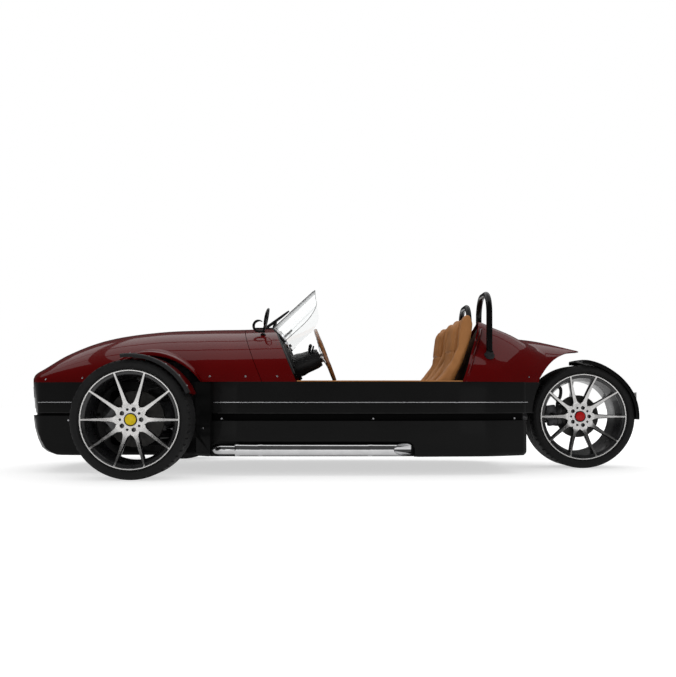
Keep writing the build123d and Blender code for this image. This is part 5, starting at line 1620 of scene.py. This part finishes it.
finish_piece(bowl_bm, "headlamp_bowls", "chassis", "rim_machined", [], chrome, angle=40)


# Tail lamp and plate: a red lens strip on the rear fender above a blank pressed plate in a border.
lamp_red = principled("lamp_red", (0.42, 0.004, 0.006), 0.16, coat=0.8)
vary(lamp_red, 60.0, (0.36, 0.003, 0.005), (0.48, 0.006, 0.008), 0.12, 0.22)
relief(lamp_red, 900.0, 0.10, 0.0006, kind="ShaderNodeTexVoronoi")
plate_white = principled("blank_plate", (0.55, 0.55, 0.54), 0.34)
vary(plate_white, 25.0, (0.50, 0.50, 0.49), (0.60, 0.60, 0.59), 0.28, 0.42)
relief(plate_white, 400.0, 0.05, 0.0004)
tail = dress("tail_lamp", satin_black, lamp_red, plate_white)
plate_front_x = 1.8255
for polygon in tail.data.polygons:
    if polygon.center.x > plate_front_x:
        polygon.material_index = 2
    elif polygon.center.z < 0.3575 and abs(polygon.center.y) > 0.020:
        polygon.material_index = 1
bm = bmesh.new()
border = [(1.8285, y, z) for y, z in ((-0.079, 0.330), (0.079, 0.330), (0.079, 0.454), (-0.079, 0.454))]
tube(bm, border, 0.0014, 8, closed=True)
finish_piece(bm, "plate_border", "chassis", "frame_black", [], plate_white)


# Hoop collars: a turned rubber collar where each leg of the hoops passes through the deck.
hoop_x = 0.852
hoop_legs = (-0.508, -0.173, 0.173, 0.508)


def deck_top(x, y):
    """The height of the deck above a point of the plan."""
    rise = along(deck_rows, x, 2) - belt_z - side_lip
    level = belt_z + side_lip + rise * math.sqrt(max(0.0, 1 - (y / along(deck_rows, x, 1)) ** 2))
    return deck_height(x, y, level)


bm = bmesh.new()
for leg_y in hoop_legs:
    z = deck_top(hoop_x, leg_y)
    slope_x = (deck_top(hoop_x + 0.02, leg_y) - deck_top(hoop_x - 0.02, leg_y)) / 0.04
    slope_y = (deck_top(hoop_x, leg_y + 0.02) - deck_top(hoop_x, leg_y - 0.02)) / 0.04
    normal = Vector((-slope_x, -slope_y, 1)).normalized()
    collar = spun([(0.0172, -0.012), (0.0300, -0.012), (0.0300, 0.0030), (0.0255, 0.0060), (0.0215, 0.0100),
                   (0.0195, 0.0220), (0.0172, 0.0240)], 40)
    lean = Vector((0, 0, 1)).rotation_difference(Vector((0, 0, 1)).lerp(normal, 0.5).normalized())
    bmesh.ops.transform(collar, matrix=Matrix.Translation((hoop_x, leg_y, z)) @ lean.to_matrix().to_4x4(),
                        verts=collar.verts)
    collar_mesh = bpy.data.meshes.new("collar")
    collar.to_mesh(collar_mesh)
    collar.free()
    bm.from_mesh(collar_mesh)
bmesh.ops.recalc_face_normals(bm, faces=bm.faces)
finish_piece(bm, "deck_seals", "chassis", "hoop_black", [], seal_rubber, angle=45)


# Rear caliper and hose: a cast two-lobed caliper, inboard of the spokes' sweep, bolted up with six
# cap screws and fed by one looped rubber hose from the swing arm.
bm = bmesh.new()
for x, z, wide, high in ((1.3270, 0.3560, 0.060, 0.052), (1.3360, 0.2850, 0.060, 0.060),
                         (1.3080, 0.3200, 0.034, 0.070),
                         (1.3560, 0.3200, 0.022, 0.100)):
    lobe = Matrix.Translation((x, 0.003, z)) @ Matrix.Rotation(math.radians(-8), 4, "Y")
    made = bmesh.ops.create_cube(bm, size=1, matrix=lobe @ Matrix.Diagonal((wide, 0.044, high, 1)))
    edges = list({edge for vert in made["verts"] for edge in vert.link_edges})
    bmesh.ops.bevel(bm, geom=edges, offset=0.009, segments=3, profile=0.5, affect="EDGES", material=-1,
                    clamp_overlap=True)
for x, z in ((1.3150, 0.3700), (1.3420, 0.3420), (1.3180, 0.2960), (1.3480, 0.2680), (1.3060, 0.3340),
             (1.3580, 0.3080)):
    bolt_head(bm, (x, -0.0190, z), (0, -1, 0), 0.0075)
bmesh.ops.recalc_face_normals(bm, faces=bm.faces)
finish_piece(bm, "rear_caliper", "chassis", "engine_grey", [], engine_grey, angle=35)

bm = bmesh.new()
tube(bm, rounded_line([(1.366, -0.004, 0.352), (1.372, -0.004, 0.410), (1.386, -0.004, 0.434),
                       (1.390, -0.004, 0.476),
                       (1.378, -0.004, 0.505), (1.392, 0.000, 0.520), (1.410, 0.010, 0.518)], 8), 0.0100, 12)
finish_piece(bm, "rear_brake_hose", "chassis", "frame_black", [], seal_rubber, angle=50)
